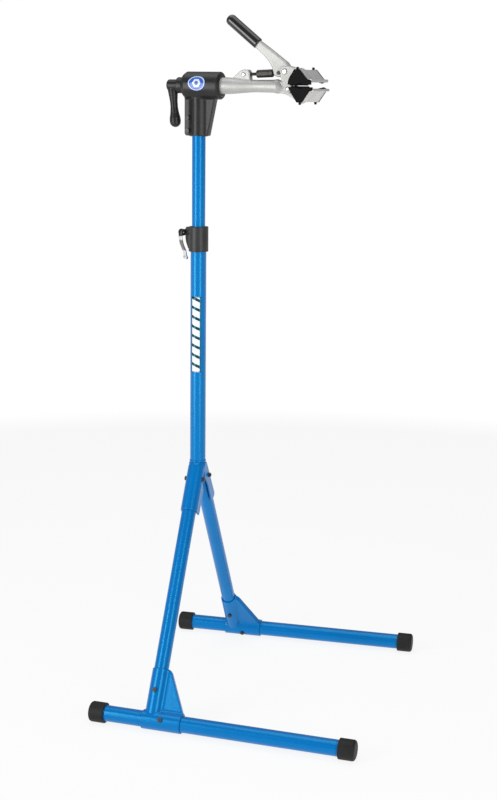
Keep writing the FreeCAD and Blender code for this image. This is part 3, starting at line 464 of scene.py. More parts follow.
def buildLock():
    grid = latticeAround((-lock["front"] - lock["length"] - 2, -14, -lock["leverLength"] - 14),
                         (-lock["front"] + 9, 14, 14), lock["step"])
    front, size = lock["front"], lock["radius"]
    knob = turnedField(grid, [(0, 0), (0, size), (lock["length"] - 4, size), (lock["length"] - 1, size - 2),
                              (lock["length"], size - 5), (lock["length"], 0)], (-front, 0, 0), (-1, 0, 0),
                              1.0)
    tilt = math.radians(lock["tilt"])
    down = (math.sin(tilt), 0, -math.cos(tilt))
    start = (-front - 14, 0, 0)
    reach = lock["leverLength"]
    profile = [(0, 0), (0, 11), (14, 12), (24, 10.6), (38, 9.0), (52, 8.9), (66, 10.6), (76, 12.8),
               (reach, 13.3),
               (reach + 6, 11.9), (reach + 10, 8.7), (reach + 12.5, 4), (reach + 13, 0)]
    lever = turnedField(grid, profile, start, down, 0.8)
    shape = joined(knob, lever, 1.2)
    shape = bored(grid, shape, (-front - lock["length"] + 3, 0, 0), alongX, 60, lock["studBore"])
    return skinOf("lock_grip", shape, grid, headPlace, "black_plastic", "lock_knob", ("lock_knob",))


buildLock()

# ring round the arm, grip, end caps


def buildTurned(name, profile, start, direction, place, look, body, nodes, step, edge, bore=None):
    length = max(d for d, r in profile)
    widest = max(r for d, r in profile)
    across = alongY if abs(Vector(direction).normalized().y) < 0.9 else alongX
    local = axesAt(Vector(start), across, direction)
    grid = latticeAround((-widest, -widest, 0), (widest, widest, length), step)
    shape = turnedField(grid, profile, (0, 0, 0), alongZ, edge)
    if bore:
        shape = bored(grid, shape, (0, 0, bore[0]), alongZ, bore[1] - bore[0], bore[2], 0.4)
    return skinOf(name, shape, grid, place @ local, look, body, nodes)


ring = {"start": 54.0, "outer": 27.0, "bore": 19.6}
buildTurned("arm_ring", [(0, 0), (0, ring["outer"]), (4.2, ring["outer"]), (6, ring["outer"] - 3), (6, 0)],
            (ring["start"], 0, 0), alongX, headPlace, "black_plastic", "mast", ("trim_ring",), 0.6, 0.8,
            (-5, 12, ring["bore"]))

grip = {"start": (149.8, 0, 95.0), "rise": 38.5, "radius": 13.0, "length": 97.0, "bore": 8.05}
gripRise = math.radians(grip["rise"])
gripWay = Vector((-math.cos(gripRise), 0, math.sin(gripRise)))
gripProfile = [(0.3, 0), (0.3, grip["radius"] - 1.0), (1.3, grip["radius"]),
               (grip["length"] - 9, grip["radius"]),
               (grip["length"] - 4, grip["radius"] - 2.2), (grip["length"] - 1, grip["radius"] - 6),
               (grip["length"], grip["radius"] - 10), (grip["length"], 0)]
buildTurned("handle_grip", gripProfile, grip["start"], gripWay, headPlace, "grip_rubber", "handle",
            ("grip",), 0.7,
            1.2, (-5, grip["length"] - 6, grip["bore"]))

cap = {"outer": 24.2, "length": 39.0, "bore": 19.1, "endWall": 6.0, "step": 0.8}


def buildCap(side, end, name, body):
    reach = stand["toeReach"] if end > 0 else stand["heelReach"]
    direction = footForward(side) * end
    start = footJoint(side) + direction * (reach - cap["length"])
    outer, length = cap["outer"], cap["length"]
    profile = [(0, 0), (0, outer - 0.6), (0.8, outer), (length - 6, outer), (length - 2.6, outer - 1.4),
               (length - 0.7, outer - 4.5), (length, outer - 9), (length, 0)]
    buildTurned(name + "_cap_rubber", profile, start, direction, Matrix.Identity(4), "black_rubber", body,
                (name + "_cap",), cap["step"], 1.0, (-5, length - cap["endWall"], cap["bore"]))


for side, body, word in ((-1, "base", "fixed"), (1, "folding_leg", "folding")):
    buildCap(side, 1, word + "_toe", body)
    buildCap(side, -1, word + "_heel", body)
print("turned pieces built")

# foot brackets

bracket = {"wall": 3.4, "toe": 74.0, "heel": 24.0, "rise": 120.0, "gussetThick": 14.0, "gussetTop": 9.0,
           "legBolt": 68.0, "footBolt": 26.0, "blend": 7.0, "step": 1.0}


def buildBracket(side, word, body):
    b = bracket
    forward, rise = footForward(side), -legDown(side)
    place = axesAt(footJoint(side), forward, rise.cross(forward).cross(forward) * -1)
    up = (rise.dot(Vector(place.col[0][:3])), 0, rise.dot(Vector(place.col[2][:3])))
    footRadius = stand["footOuter"] / 2 + b["wall"]
    legRadius = stand["legOuter"] / 2 + b["wall"] - 0.4
    grid = latticeAround((-b["heel"], -footRadius, -footRadius), (b["toe"], footRadius, b["rise"]), b["step"])
    sleeve = rodField(grid, (-b["heel"], 0, 0), alongX, b["heel"] + b["toe"], footRadius, 0.8)
    post = rodField(grid, (0, 0, 0), up, b["rise"], legRadius, 0.8)
    top = b["rise"] - 1
    tip = legRadius + b["gussetTop"] + top * up[0] / up[2]
    corners = [(0, 0), (b["toe"] - 1, 0), (b["toe"] - 1, footRadius), (tip, top - 5), (tip - 5, top),
               (0, top)]
    gusset = slabField(grid, corners, -b["gussetThick"] / 2, b["gussetThick"] / 2, 1.5)
    shape = joined(joined(sleeve, post, 3.0), gusset, b["blend"])
    shape = bored(grid, shape, (-b["heel"] - 5, 0, 0), alongX, 200, boreFor("footOuter"), 0.4)
    seat = stand["footOuter"] / 2 + 5.0
    shape = bored(grid, shape, (up[0] * seat, 0, up[2] * seat), up, 200, boreFor("legOuter"), 0.4)
    onLeg = (up[0] * b["legBolt"], -40, up[2] * b["legBolt"])
    shape = bored(grid, shape, onLeg, alongY, 80, stand["boltBore"])
    shape = bored(grid, shape, (b["footBolt"], -40, 0), alongY, 80, stand["boltBore"])
    return skinOf(word + "_bracket_shell", shape, grid, place, "blue_paint", body, (word + "_foot_bracket",))


buildBracket(-1, "fixed", "base")
buildBracket(1, "folding", "folding_leg")
print("brackets built")

# crown: neck, front sleeve and rear cheeks

crown = {"wall": 3.3, "sleeveStart": 30.0, "sleeveLength": 100.0, "guardReach": 22.0, "guardPast": 4.0,
         "neckDrop": 20.0, "cheekWall": 3.0,
         "cheekEnd": 128.0, "stopStart": 96.0, "stopEnd": 118.0, "foldGap": 3.9, "spigot": 40.0,
         "postWall": 1.6, "sideGap": 0.4, "step": 0.95}


def buildCrown():
    c = crown
    sleeveOuter = stand["legOuter"] + 2 * c["wall"]
    pivotDrop = (stand["legOuter"] / 2 + sleeveOuter / 2 + c["foldGap"]) / math.sin(2 * lean)
    place = axesAt(crownPoint, alongY, alongZ)  # local x is the frame's y, local y its -x
    out = lambda k, side=1: (side * k * math.cos(lean), k * math.sin(lean))
    down = lambda k, side=1: (side * k * math.sin(lean), -k * math.cos(lean))
    at = lambda d, o, side=1: (down(d, side)[0] + out(o, side)[0], down(d, side)[1] + out(o, side)[1])
    reach = c["sleeveStart"] + c["sleeveLength"]
    grid = latticeAround((-95, -26, -128), (95, 26, c["spigot"]), c["step"])
    front = (-math.sin(lean), 0, -math.cos(lean))
    rear = (math.sin(lean), 0, -math.cos(lean))
    point = lambda k, way: (way[0] * k, 0, way[2] * k)
    neck = rodField(grid, (0, 0, -c["neckDrop"]), alongZ, c["neckDrop"], stand["postOuter"] / 2, 0.3)
    x, y, z = (grid[a] - v for a, v in zip("xyz", point(c["neckDrop"], front)))
    knuckle = np.sqrt(x * x + y * y + z * z) - sleeveOuter / 2
    sleeve = rodField(grid, point(c["neckDrop"], front), front, reach - c["neckDrop"], sleeveOuter / 2, 0.8)
    shape = joined(neck, joined(knuckle, sleeve), 5.0)
    shape = np.maximum(shape, grid["z"] - 0.0)
    inside = stand["legOuter"] / 2 + c["sideGap"]
    outside = inside + c["cheekWall"]
    near = -stand["legOuter"] / 2
    cheek = [(-6, -3), (8, -3), at(24, 7), at(c["cheekEnd"] - 6, 12), at(c["cheekEnd"], 7),
             at(c["cheekEnd"], near + 5), at(c["cheekEnd"] - 5, near), at(pivotDrop + 15, near),
             (-6, -pivotDrop * 0.8)]
    stopOut = stand["legOuter"] / 2 + stand["gap"]
    stop = [at(c["stopStart"], 5), at(c["stopStart"], stopOut + c["cheekWall"]),
            at(c["stopEnd"], stopOut + c["cheekWall"]), at(c["stopEnd"], 5)]
    for low in (inside, -outside):
        shape = joined(shape, slabField(grid, cheek, low, low + c["cheekWall"], 0.7), 2.0)
    end = reach + c["guardPast"]
    guard = [at(pivotDrop + 8, 4, -1), at(pivotDrop + 8, -6, -1), at(pivotDrop + 20, -c["guardReach"], -1),
             at(end - 3, -c["guardReach"], -1), at(end, 4 - c["guardReach"], -1), at(end, -7, -1),
             at(reach - 2, 4, -1)]
    for low in (sleeveOuter / 2 - c["cheekWall"], -sleeveOuter / 2):
        shape = joined(shape, slabField(grid, guard, low, low + c["cheekWall"], 0.7), 1.5)
    wrap = cutAway(rodField(grid, (0, 0, 0), rear, 200, stopOut + c["cheekWall"]),
                   rodField(grid, (0, 0, 0), rear, 200, stopOut))
    shape = joined(shape, np.maximum(slabField(grid, stop, -outside, outside), wrap), 1.2)
    spigotRadius = stand["postOuter"] / 2 - c["postWall"] - stand["fit"]
    shape = joined(shape, rodField(grid, (0, 0, -1), alongZ, c["spigot"], spigotRadius, 0.5))
    shape = bored(grid, shape, (0, 0, -c["neckDrop"] * 0.4), alongZ, 80, spigotRadius - 4)
    shape = bored(grid, shape, point(c["sleeveStart"], front), front, 150, boreFor("legOuter"), 0.4)
    for way in (front, rear):
        start = point(pivotDrop, way)
        shape = bored(grid, shape, (start[0], -60, start[2]), alongY, 120, stand["boltBore"])
    return skinOf("crown_shell", shape, grid, place, "blue_paint", "base", ("leg_crown",))


buildCrown()
print("crown built")

# height collar and its cam lever

# earShade and the ear colour: where the painted shadow on the clamp ears starts, and its near-black colour
collar = {"bottom": 1091.0, "height": 59.5, "wall": 4.6, "earReach": 24.0, "earHalf": 12.5, "earHeight": 52.0,
          "earDrop": 3.5, "slit": 4.0, "skewerReach": 35.0, "skewerDrop": 15.5, "skewerBore": 2.7,
          "postTop": 1146.0, "earShade": 0.0245, "earShadowColour": (0.006, 0.006, 0.0065, 1), "step": 0.7}


def collarMaterial():  # the clamp ears get painted shade: a near-black colour for the shadow they sit in, darker than the ring
    made, tree, shader, work = openedMaterial("collar_painted_ear_shade", "collar_casting")
    away = collarPlace.to_3x3() @ Vector(alongX)
    where = addNode(tree, "ShaderNodeTexCoord").outputs["Object"]
    reach = addNode(tree, "ShaderNodeVectorMath", {0: where, 1: away}, operation="DOT_PRODUCT")
    start = Vector((postX * mm, 0, 0)).dot(away) + collar["earShade"]
    # painted shade: from earShade outwards the ears turn near-black
    shadedEars = mixColour(tree, ramp(tree, reach.outputs["Value"], start, 600.0), work["Colour"],
                     collar["earShadowColour"])
    tree.links.new(shadedEars, shader.inputs["Base Color"])
    return made


def buildCollar():
    c = collar
    radius = boreFor("postOuter") + c["wall"]
    grid = latticeAround((-radius, -radius, 0), (radius + c["earReach"], radius, c["height"]), c["step"])
    body = rodField(grid, (0, 0, 0), alongZ, c["height"], radius, 0.9)
    base = c["height"] - c["earDrop"] - c["earHeight"]
    reach = radius + c["earReach"]
    ear = slabField(grid, [(10, base), (radius + 9, base), (reach - 3, base + c["earHeight"] * 0.3),
                           (reach, base + c["earHeight"] * 0.5), (reach, base + c["earHeight"] - 5),
                           (reach - 5, base + c["earHeight"]), (10, base + c["earHeight"])],
                    -c["earHalf"], c["earHalf"], 2.0)
    shape = joined(body, ear, 3.0)
    inner = c["postTop"] + stand["gap"] - c["bottom"]
    shape = bored(grid, shape, (0, 0, -5), alongZ, inner + 5, boreFor("postOuter"), 0.4)
    shape = bored(grid, shape, (0, 0, -5), alongZ, c["height"] + 10, stand["mastOuter"] / 2 + 0.5, 0.4)
    slit = blockField(grid, (14.9, -c["slit"] / 2, -5), (90, c["slit"] / 2, c["height"] + 5))
    shape = cutAway(shape, slit, 0.3)
    skewer = c["height"] - c["skewerDrop"]
    shape = bored(grid, shape, (c["skewerReach"], -40, skewer), alongY, 80, c["skewerBore"], 0.3)
    place = collarPlace @ Matrix.Translation((0, 0, c["bottom"]))
    return skinOf("collar_shell", shape, grid, place, "black_casting", "base", ("collar",), collarMaterial())


buildCollar()

# dish is the colour of the painted shade in the blade's dish recess
camLever = {"wide": 15.0, "camRadius": 8.0, "thick": 4.0, "length": 62.0, "seat": 5.0, "dark": 9.0,
            "pinBore": 2.55, "black": ((0.012, 0.012, 0.013, 1), (0.09, 0.09, 0.09, 1)),
            "dish": (0.05, 0.05, 0.052, 1), "step": 0.5}


def leverMaterial():  # bright blade below a black cam head, with painted shade darkening the dish recess in the blade
    made, tree, shader, work = openedMaterial("lever_two_tone", "lever_metal")
    where = addNode(tree, "ShaderNodeTexCoord").outputs["Object"]
    height = addNode(tree, "ShaderNodeSeparateXYZ", {0: where}).outputs["Z"]
    border = (collar["bottom"] + collar["height"] - collar["skewerDrop"] - camLever["dark"]) * mm
    raised = ramp(tree, height, border - 0.0004, 1200.0)
    black = mixColour(tree, work["Wear"], *camLever["black"])
    # painted shade: a band over the dish recess is darkened towards the dish colour
    fromMiddle = mathNode(tree, "ABSOLUTE", mathNode(tree, "SUBTRACT", height, border - 0.022))
    dishShade = times(tree, mathNode(tree, "SUBTRACT", 0.0145, fromMiddle), 300.0, clamp=True)
    blade = mixColour(tree, times(tree, dishShade, 0.85), work["Colour"], camLever["dish"])
    tree.links.new(mixColour(tree, raised, blade, black), shader.inputs["Base Color"])
    metal = looks["lever_metal"]["metallic"]
    tree.links.new(mathNode(tree, "MULTIPLY_ADD", raised, -metal, metal), shader.inputs["Metallic"])
    return made


def buildCamLever():
    c, k = camLever, collar
    end = k["earHalf"] + c["seat"] + c["camRadius"] + stand["gap"]
    top = k["bottom"] + k["height"] - k["skewerDrop"]
    half = c["wide"] / 2
    local = axesAt((k["skewerReach"], 0, top), alongY, alongZ)  # local x is the collar's y, local y its -x
    grid = latticeAround((end - 12, -half, -c["length"] - 6), (end + 11, half, 10), c["step"])
    cam = rodField(grid, (end, -half, 0), alongY, c["wide"], c["camRadius"], 1.0)
    path = [(4, 2), (5.5, -12), (2, -28), (-6, -46), (-9, -c["length"])]
    near = [(end + a + c["thick"] / 2, b) for a, b in path]
    far = [(end + a - c["thick"] / 2, b) for a, b in path]
    blade = slabField(grid, near + far[::-1], -half, half, 0.9)
    tip = rodField(grid, (end - 9, -half, -c["length"]), alongY, c["wide"], c["thick"] * 0.9, 1.2)
    dish = slabField(grid, [(end + 9.5, -9), (end + 4.8, -28), (end - 2.4, -44), (end - 1, -42),
                            (end + 7, -26),
                            (end + 12, -9)], -half + 3, half - 3, 0.5)
    shape = cutAway(joined(joined(cam, blade, 2.0), tip, 3.0), dish, 0.8)
    slot = blockField(grid, (end - 30, -3.3, -9), (end + 9, 3.3, 12))
    shape = cutAway(shape, slot, 0.3)
    shape = bored(grid, shape, (end, -20, 0), alongY, 40, c["pinBore"])
    return skinOf("cam_lever_shell", shape, grid, collarPlace @ local, "lever_metal", "cam_lever",
                  ("cam_lever",),
                  leverMaterial())


buildCamLever()
print("collar and lever built")

# clamp

clamp = {"shaft": 19.3, "waist": 150.0, "waistRadius": 14.2, "end": 200.0, "endRadius": 15.0, "tangHalf": 9.5,
         "eyeHalf": 4.0, "sideGap": 0.4, "cheek": 4.5, "pinRod": 8.0, "studBore": 5.05,
         "jawPivot": (228.5, -5.8),
         "handlePivot": (220.5, 33.5), "togglePivot": (204.0, 30.3), "linkPivot": (117.0, 26.0)}
jaw = {"middle": 1.5, "length": 110.0, "plate": 3.0, "ridge": 34.6, "ridgeNear": 5.0, "ridgeFar": 6.0,
       "liner": 5.0, "flange": 3.0, "mouthHalf": 2.6, "wallHalf": 0.6, "mouthCentre": 275.0, "notchHalf": 9.0,
       "notchTop": 6.5, "pegPitch": 104.0, "pegRod": 4.4, "pegHead": 3.1, "pegRise": 6.0,
       "upper": {"centre": 266.5, "lip": 13.5, "inner": 18.0, "knee": (24.3, 13.5), "brim": (34.2, 9.0)},
       "lower": {"centre": 273.0, "lip": 8.5, "inner": 22.0, "knee": (22.5, 10.6), "brim": (31.3, 7.0)}}


def jawLine(word):  # middle of a jaw plate: reach from its ridge, distance from the mouth
    j = jaw[word]
    return [(-j["inner"], j["lip"]), (3 - j["inner"], j["lip"] + 5.5), (-jaw["ridgeNear"], jaw["ridge"]),
            (jaw["ridgeFar"], jaw["ridge"]), j["knee"], j["brim"]]


def shifted(line, offset):  # an open line moved sideways, with mitred corners
    moved = []
    for index, point in enumerate(line):
        before, after = line[max(index - 1, 0)], line[min(index + 1, len(line) - 1)]
        steps = [(point[0] - before[0], point[1] - before[1]), (after[0] - point[0], after[1] - point[1])]
        if index == 0:
            steps[0] = steps[1]
        if index == len(line) - 1:
            steps[1] = steps[0]
        normals = [(-s[1] / math.hypot(*s), s[0] / math.hypot(*s)) for s in steps]
        total = (normals[0][0] + normals[1][0], normals[0][1] + normals[1][1])
        scale = 2 / (total[0] ** 2 + total[1] ** 2)
        moved.append((point[0] + total[0] * scale * offset, point[1] + total[1] * scale * offset))
    return moved


def jawPoints(points, word):
    way = 1 if word == "upper" else -1
    return [(jaw[word]["centre"] + x, jaw["middle"] + way * z) for x, z in points]


def jawCover(word):  # everything the plate covers, past the mouth's middle
    skin = shifted(jawLine(word), jaw["plate"] / 2)
    deep = -jaw["upper"]["lip"]
    return jawPoints(skin + [(skin[-1][0], deep), (skin[0][0], deep)], word)


def pinHole(grid, shape, point, spare=0.1):
    hole = rodField(grid, (point[0], -40, point[1]), alongY, 80, clamp["pinRod"] / 2 + spare)
    return cutAway(shape, hole)


def buildArm():
    c = clamp
    back = head["back"] - head["endWall"] - stand["gap"]
    start = head["front"] + 8
    grid = latticeAround((-back, -20, -42), (272, 20, 40), 1.0)
    profile = [(0, 0), (0, c["shaft"]), (back + start, c["shaft"])]
    for index in range(1, 15):
        share = index / 14
        blend = 0.5 - 0.5 * math.cos(math.pi * share)
        profile.append((back + start + (c["waist"] - start) * share,
                        c["shaft"] + (c["waistRadius"] - c["shaft"]) * blend))
    profile += [(back + c["end"], c["endRadius"]), (back + c["end"] + 8, c["tangHalf"] - 1),
                (back + c["end"] + 8, 0)]
    shaft = turnedField(grid, profile, (-back, 0, 0), alongX, 0.0)
    ridge = jawPoints(shifted(jawLine("lower"), jaw["plate"] / 2), "lower")[2]
    tang = slabField(grid, [(196, 12), (222, 11), (236, 6), (256, -3), (262, -12), ridge, (258, -39),
                            (240, -27),
                            (222, -18), (196, -13)], -c["tangHalf"], c["tangHalf"], 2.0)
    lug = slabField(grid, [(84, 8), (84, 13.5), (108, 34), (117, 37.5), (128, 37), (132, 30), (133, 8)],
                    -c["tangHalf"], c["tangHalf"], 1.8)
    shape = joined(joined(shaft, tang, 9.0), lug, 4.0)
    slot = slabField(grid, [(100, c["waistRadius"] + 4.5), (100, 50), (140, 50),
                            (140, c["waistRadius"] + 4.5)],
                     -c["eyeHalf"] - c["sideGap"], c["eyeHalf"] + c["sideGap"])
    shape = cutAway(shape, slot, 0.6)
    shape = cutAway(shape, slabField(grid, jawCover("lower"), -110, 110))
    # the jaw's cheeks sweep through here as it opens
    swept = [(200, 19), (220.2, -13.6), (226, -20), (244, -20), (244, 30), (205, 36)]
    for low, high in ((c["tangHalf"] + 0.2, 30), (-30, -c["tangHalf"] - 0.2)):
        shape = cutAway(shape, slabField(grid, swept, low, high))
    shape = bored(grid, shape, (-back - 5, 0, 0), alongX, 34, c["studBore"])
    shape = pinHole(grid, pinHole(grid, shape, c["linkPivot"]), c["jawPivot"])
    return skinOf("arm_shell", shape, grid, headPlace, "silver_casting", "clamp_arm", ("arm_casting",))


def buildUpperJaw():
    c = clamp
    low = c["tangHalf"] + c["sideGap"]
    high = low + c["cheek"]
    ridge = jawPoints(shifted(jawLine("upper"), jaw["plate"] / 2), "upper")[2]
    grid = latticeAround((206, -high, -18), (268, high, 50), 0.7)
    outline = [(219, -10), (224, -15), (232, -15.5), (237, -11), (239, 8), (251, 16), (258, 22), ridge,
               (255, 42),
               (244, 42), (228, 46), (214, 45.5), (208.5, 40), (210, 26)]
    shape = joined(slabField(grid, outline, low, high, 1.4), slabField(grid, outline, -high, -low, 1.4))
    bridge = slabField(grid, [(240, 10), (251, 16), (258, 22), ridge, (255, 40), (246, 31), (241, 22)],
                       -high, high, 1.2)
    shape = joined(shape, bridge, 2.5)
    shape = cutAway(shape, slabField(grid, jawCover("upper"), -110, 110))
    shape = pinHole(grid, pinHole(grid, shape, c["jawPivot"]), c["handlePivot"])
    return skinOf("upper_jaw_shell", shape, grid, headPlace, "silver_casting", "upper_jaw",
                  ("upper_jaw_casting",))


handle = {"neckHalf": 9.0, "tangRadius": 8.0, "edge": 3.2}


def buildHandle():
    c = clamp
    base = Vector(grip["start"])
    side = Vector((gripWay.z, 0, -gripWay.x))
    top, low = base + side * handle["neckHalf"], base - side * handle["neckHalf"]
    outline = [(191, 28), (194, 23), (204, 20.5), (216, 21.5), (228, 23), (233, 30), (233, 38), (228, 47),
               (223, 54),
               (207, 65.5), (185, 81.5), (top.x, top.z), (low.x, low.z), (170, 66), (180, 54), (187, 42)]
    tip = base + gripWay * (grip["length"] - 8)
    grid = latticeAround((tip.x - 9, -c["tangHalf"], 18), (236, c["tangHalf"], tip.z + 9), 0.9)
    shape = slabField(grid, outline, -c["tangHalf"], c["tangHalf"], handle["edge"])
    tang = rodField(grid, base - gripWay * 6, gripWay, grip["length"] - 2, handle["tangRadius"], 1.0)
    shape = joined(shape, tang, 2.0)
    gap = slabField(grid, [(180, 10), (219, 10), (219, 38), (208, 44), (180, 44)],
                    -c["eyeHalf"] - c["sideGap"], c["eyeHalf"] + c["sideGap"])
    shape = cutAway(shape, gap, 0.5)
    shape = pinHole(grid, pinHole(grid, shape, c["handlePivot"]), c["togglePivot"])
    return skinOf("handle_shell", shape, grid, headPlace, "silver_casting", "handle", ("handle_casting",))


def buildJawSide(word, way, body):
    half, size = jaw["length"] / 2, jaw[word]
    line = jawLine(word)
    bottom, top = sorted((jaw["middle"], jaw["middle"] + way * (jaw["ridge"] + 6)))
    grid = latticeAround((size["centre"] - size["inner"] - 10, -half - 4, bottom),
                         (size["centre"] + size["brim"][0] + 6, half + 4, top), 0.75)
    skin = shifted(line, jaw["plate"] / 2)
    under = shifted(line, -jaw["plate"] / 2)
    plate = slabField(grid, jawPoints(skin + under[::-1], word), -half, half, 0.8)
    knee, brim = size["knee"], size["brim"]
    lip = [(knee[0], knee[1] + 1.4), (brim[0] + 1.2, knee[1] + 1.4), (brim[0] + 1.9, knee[1] + 0.6),
           (brim[0] + 1.6, brim[1] - 0.6), (brim[0] - 0.6, brim[1] - 0.6), (brim[0] - 1, knee[1] - 1.2)]
    plate = joined(plate, slabField(grid, jawPoints(lip, word), -half, half, 0.6), 0.8)
    pegs = [-jaw["pegPitch"] / 2, jaw["pegPitch"] / 2]
    for y in pegs:
        plate = cutAway(plate, rodField(grid, (size["centre"], y, jaw["middle"]), (0, 0, way), 60,
                                        jaw["pegRod"] / 2))
    skinOf(word + "_plate_shell", plate, grid, headPlace, "jaw_plate_metal", body, (word + "_jaw_plate",))
    inner = shifted(line, -jaw["plate"] / 2 - jaw["liner"])
    mouth = jaw["mouthHalf"]
    rubber = slabField(grid, jawPoints(under[:5] + inner[:5][::-1], word), -half, half, 0.3)
    wall = [(line[0][0], jaw["wallHalf"]), (line[0][0], under[0][1]), under[0], inner[0],
            (inner[0][0], jaw["wallHalf"])]
    rubber = joined(rubber, slabField(grid, jawPoints(wall, word), -half, half, 0.3))
    proud = shifted(line, jaw["plate"] / 2 + 0.8)
    notchAt = jaw["mouthCentre"] - size["centre"]
    near = proud + [(proud[-1][0], mouth), (notchAt + jaw["notchHalf"], mouth), (notchAt, jaw["notchTop"]),
                    (notchAt - jaw["notchHalf"], mouth), (proud[0][0] - 2, mouth)]
    far = proud + [(inner[4][0], inner[4][1] - 3), (inner[0][0] + 8, line[0][1]), (proud[0][0], line[0][1])]
    for outline, a in ((near, -half - jaw["flange"]), (far, half)):
        rubber = joined(rubber, slabField(grid, jawPoints(outline, word), a, a + jaw["flange"], 0.9), 0.8)
    for y in pegs:
        foot = (size["centre"], y, jaw["middle"] + way * (jaw["ridge"] - jaw["plate"] / 2 - 2))
        rubber = joined(rubber, rodField(grid, foot, (0, 0, way), jaw["plate"] + 3, jaw["pegRod"] / 2))
        button = (size["centre"], y, jaw["middle"] + way * (jaw["ridge"] + jaw["plate"] / 2))
        rubber = joined(rubber, rodField(grid, button, (0, 0, way), jaw["pegRise"], jaw["pegHead"], 1.6), 0.3)
    skinOf(word + "_liner_rubber", rubber, grid, headPlace, "black_rubber", body, (word + "_liner",),
           materials["liner_rubber"])


buildArm()
buildUpperJaw()
buildHandle()
buildJawSide("upper", 1, "upper_jaw")
buildJawSide("lower", -1, "clamp_arm")
print("clamp built")

# curved plates: badge on the head, stripe panel on the post


def patternMaterial(name, lookName, drawPattern):
    made, tree, shader, work = openedMaterial(name, lookName)
    uv = addNode(tree, "ShaderNodeUVMap", uv_map="plate").outputs[0]
    split = addNode(tree, "ShaderNodeSeparateXYZ", {0: uv}).outputs
    tree.links.new(drawPattern(tree, split["X"], split["Y"], work["Colour"]), shader.inputs["Base Color"])
    return made


def distance(tree, first, second):
    squares = mathNode(tree, "ADD", times(tree, first, first), times(tree, second, second))
    return mathNode(tree, "SQRT", squares)


badge = {"along": 22.5, "round": 18.0, "centre": 7.0, "lift": 5.5, "proud": 0.6,
         "pale": (0.62, 0.65, 0.70, 1)}
panel = {"bottom": 0.798, "top": 0.983, "facing": -90.6, "half": 40.0, "proud": 0.25, "bars": 8,
         "white": (0.80, 0.81, 0.83, 1), "black": (0.006, 0.006, 0.008, 1)}


def drawBadge(tree, u, v, base):
    x, y = mathNode(tree, "ABSOLUTE", u), mathNode(tree, "ABSOLUTE", v)
    radial = distance(tree, u, v)
    rim = times(tree, stepOver(tree, radial, 0.84, 0.03), below(tree, radial, 0.93, 0.03))
    wide = times(tree, x, badge["along"] / badge["round"])
    slope = mathNode(tree, "ADD", times(tree, wide, 0.866), times(tree, y, 0.5))
    hexagon = mathNode(tree, "MAXIMUM", y, slope)
    nut = times(tree, below(tree, hexagon, 0.52, 0.05), stepOver(tree, distance(tree, wide, y), 0.27, 0.05))
    return mixColour(tree, mathNode(tree, "MAXIMUM", rim, nut), base, badge["pale"])


def drawPanel(tree, u, v, base):
    slanted = mathNode(tree, "ADD", times(tree, u, panel["bars"]), times(tree, v, 0.5))
    beat = mathNode(tree, "ABSOLUTE", mathNode(tree, "SUBTRACT", mathNode(tree, "FRACT", slanted), 0.5))
    side = mathNode(tree, "ABSOLUTE", mathNode(tree, "SUBTRACT", v, 0.5))
    white = times(tree, below(tree, beat, 0.34, 0.05), below(tree, side, 0.37, 0.04))
    backing = mixColour(tree, below(tree, side, 0.46, 0.04), base, panel["black"])
    return mixColour(tree, white, backing, panel["white"])


def closedPlate(name, outerPoints, innerPoints, uvs, rings, spokes, material, body, nodes):
    count = len(outerPoints)
    faces = []
    for top, flip in ((0, False), (count, True)):
        for face in rings:
            shiftedFace = [top + i for i in face]
            faces.append(shiftedFace[::-1] if flip else shiftedFace)
    for a, b in spokes:
        faces.append([b, a, a + count, b + count])
    mesh = bpy.data.meshes.new(name)
    mesh.from_pydata([p * mm for p in outerPoints + innerPoints], [], faces)
    layer = mesh.uv_layers.new(name="plate")
    for loop in mesh.loops:
        layer.data[loop.index].uv = uvs[loop.vertex_index % count]
    mesh.materials.append(material)
    signed = sum((mesh.vertices[p.vertices[0]].co).dot(p.normal) * p.area for p in mesh.polygons)
    if signed < 0:
        mesh.flip_normals()
    mesh.polygons.foreach_set("use_smooth", [True] * len(mesh.polygons))
    piece = addObject(name, mesh)
    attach(piece, body)
    if nodes:
        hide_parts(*nodes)
    return piece


def buildBadge():
    rings, spokesCount = 10, 64
    outer, inner, uvs = [], [], []

    def onBarrel(u, v, radius):  # u along the arm, v round the barrel
        angle = math.radians(270) + (v * badge["round"] + badge["lift"]) / head["radius"]
        return headPlace @ Vector((badge["centre"] + u * badge["along"], radius * math.sin(angle),
                                   radius * math.cos(angle)))

    for ringIndex in range(rings + 1):
        share = ringIndex / rings
        for index in range(spokesCount if ringIndex else 1):
            turn = 2 * math.pi * index / spokesCount
            u, v = share * math.cos(turn), share * math.sin(turn)
            lift = badge["proud"] - (0.25 if ringIndex == rings else 0)
            uvs.append((u, v))
            outer.append(onBarrel(u, v, head["radius"] + lift))
            inner.append(onBarrel(u, v, head["radius"] + 0.05))
    faces = []
    for index in range(spokesCount):
        after = (index + 1) % spokesCount
        faces.append([0, 1 + index, 1 + after])
        for ringIndex in range(1, rings):
            a = 1 + (ringIndex - 1) * spokesCount
            b = a + spokesCount
            faces.append([a + index, b + index, b + after, a + after])
    last = 1 + (rings - 1) * spokesCount
    rim = [(last + i, last + (i + 1) % spokesCount) for i in range(spokesCount)]
    material = patternMaterial("badge_enamel", "badge_print", drawBadge)
    return closedPlate("badge_plate", outer, inner, uvs, faces, rim, material, "mast",
                       ("head_badge",))


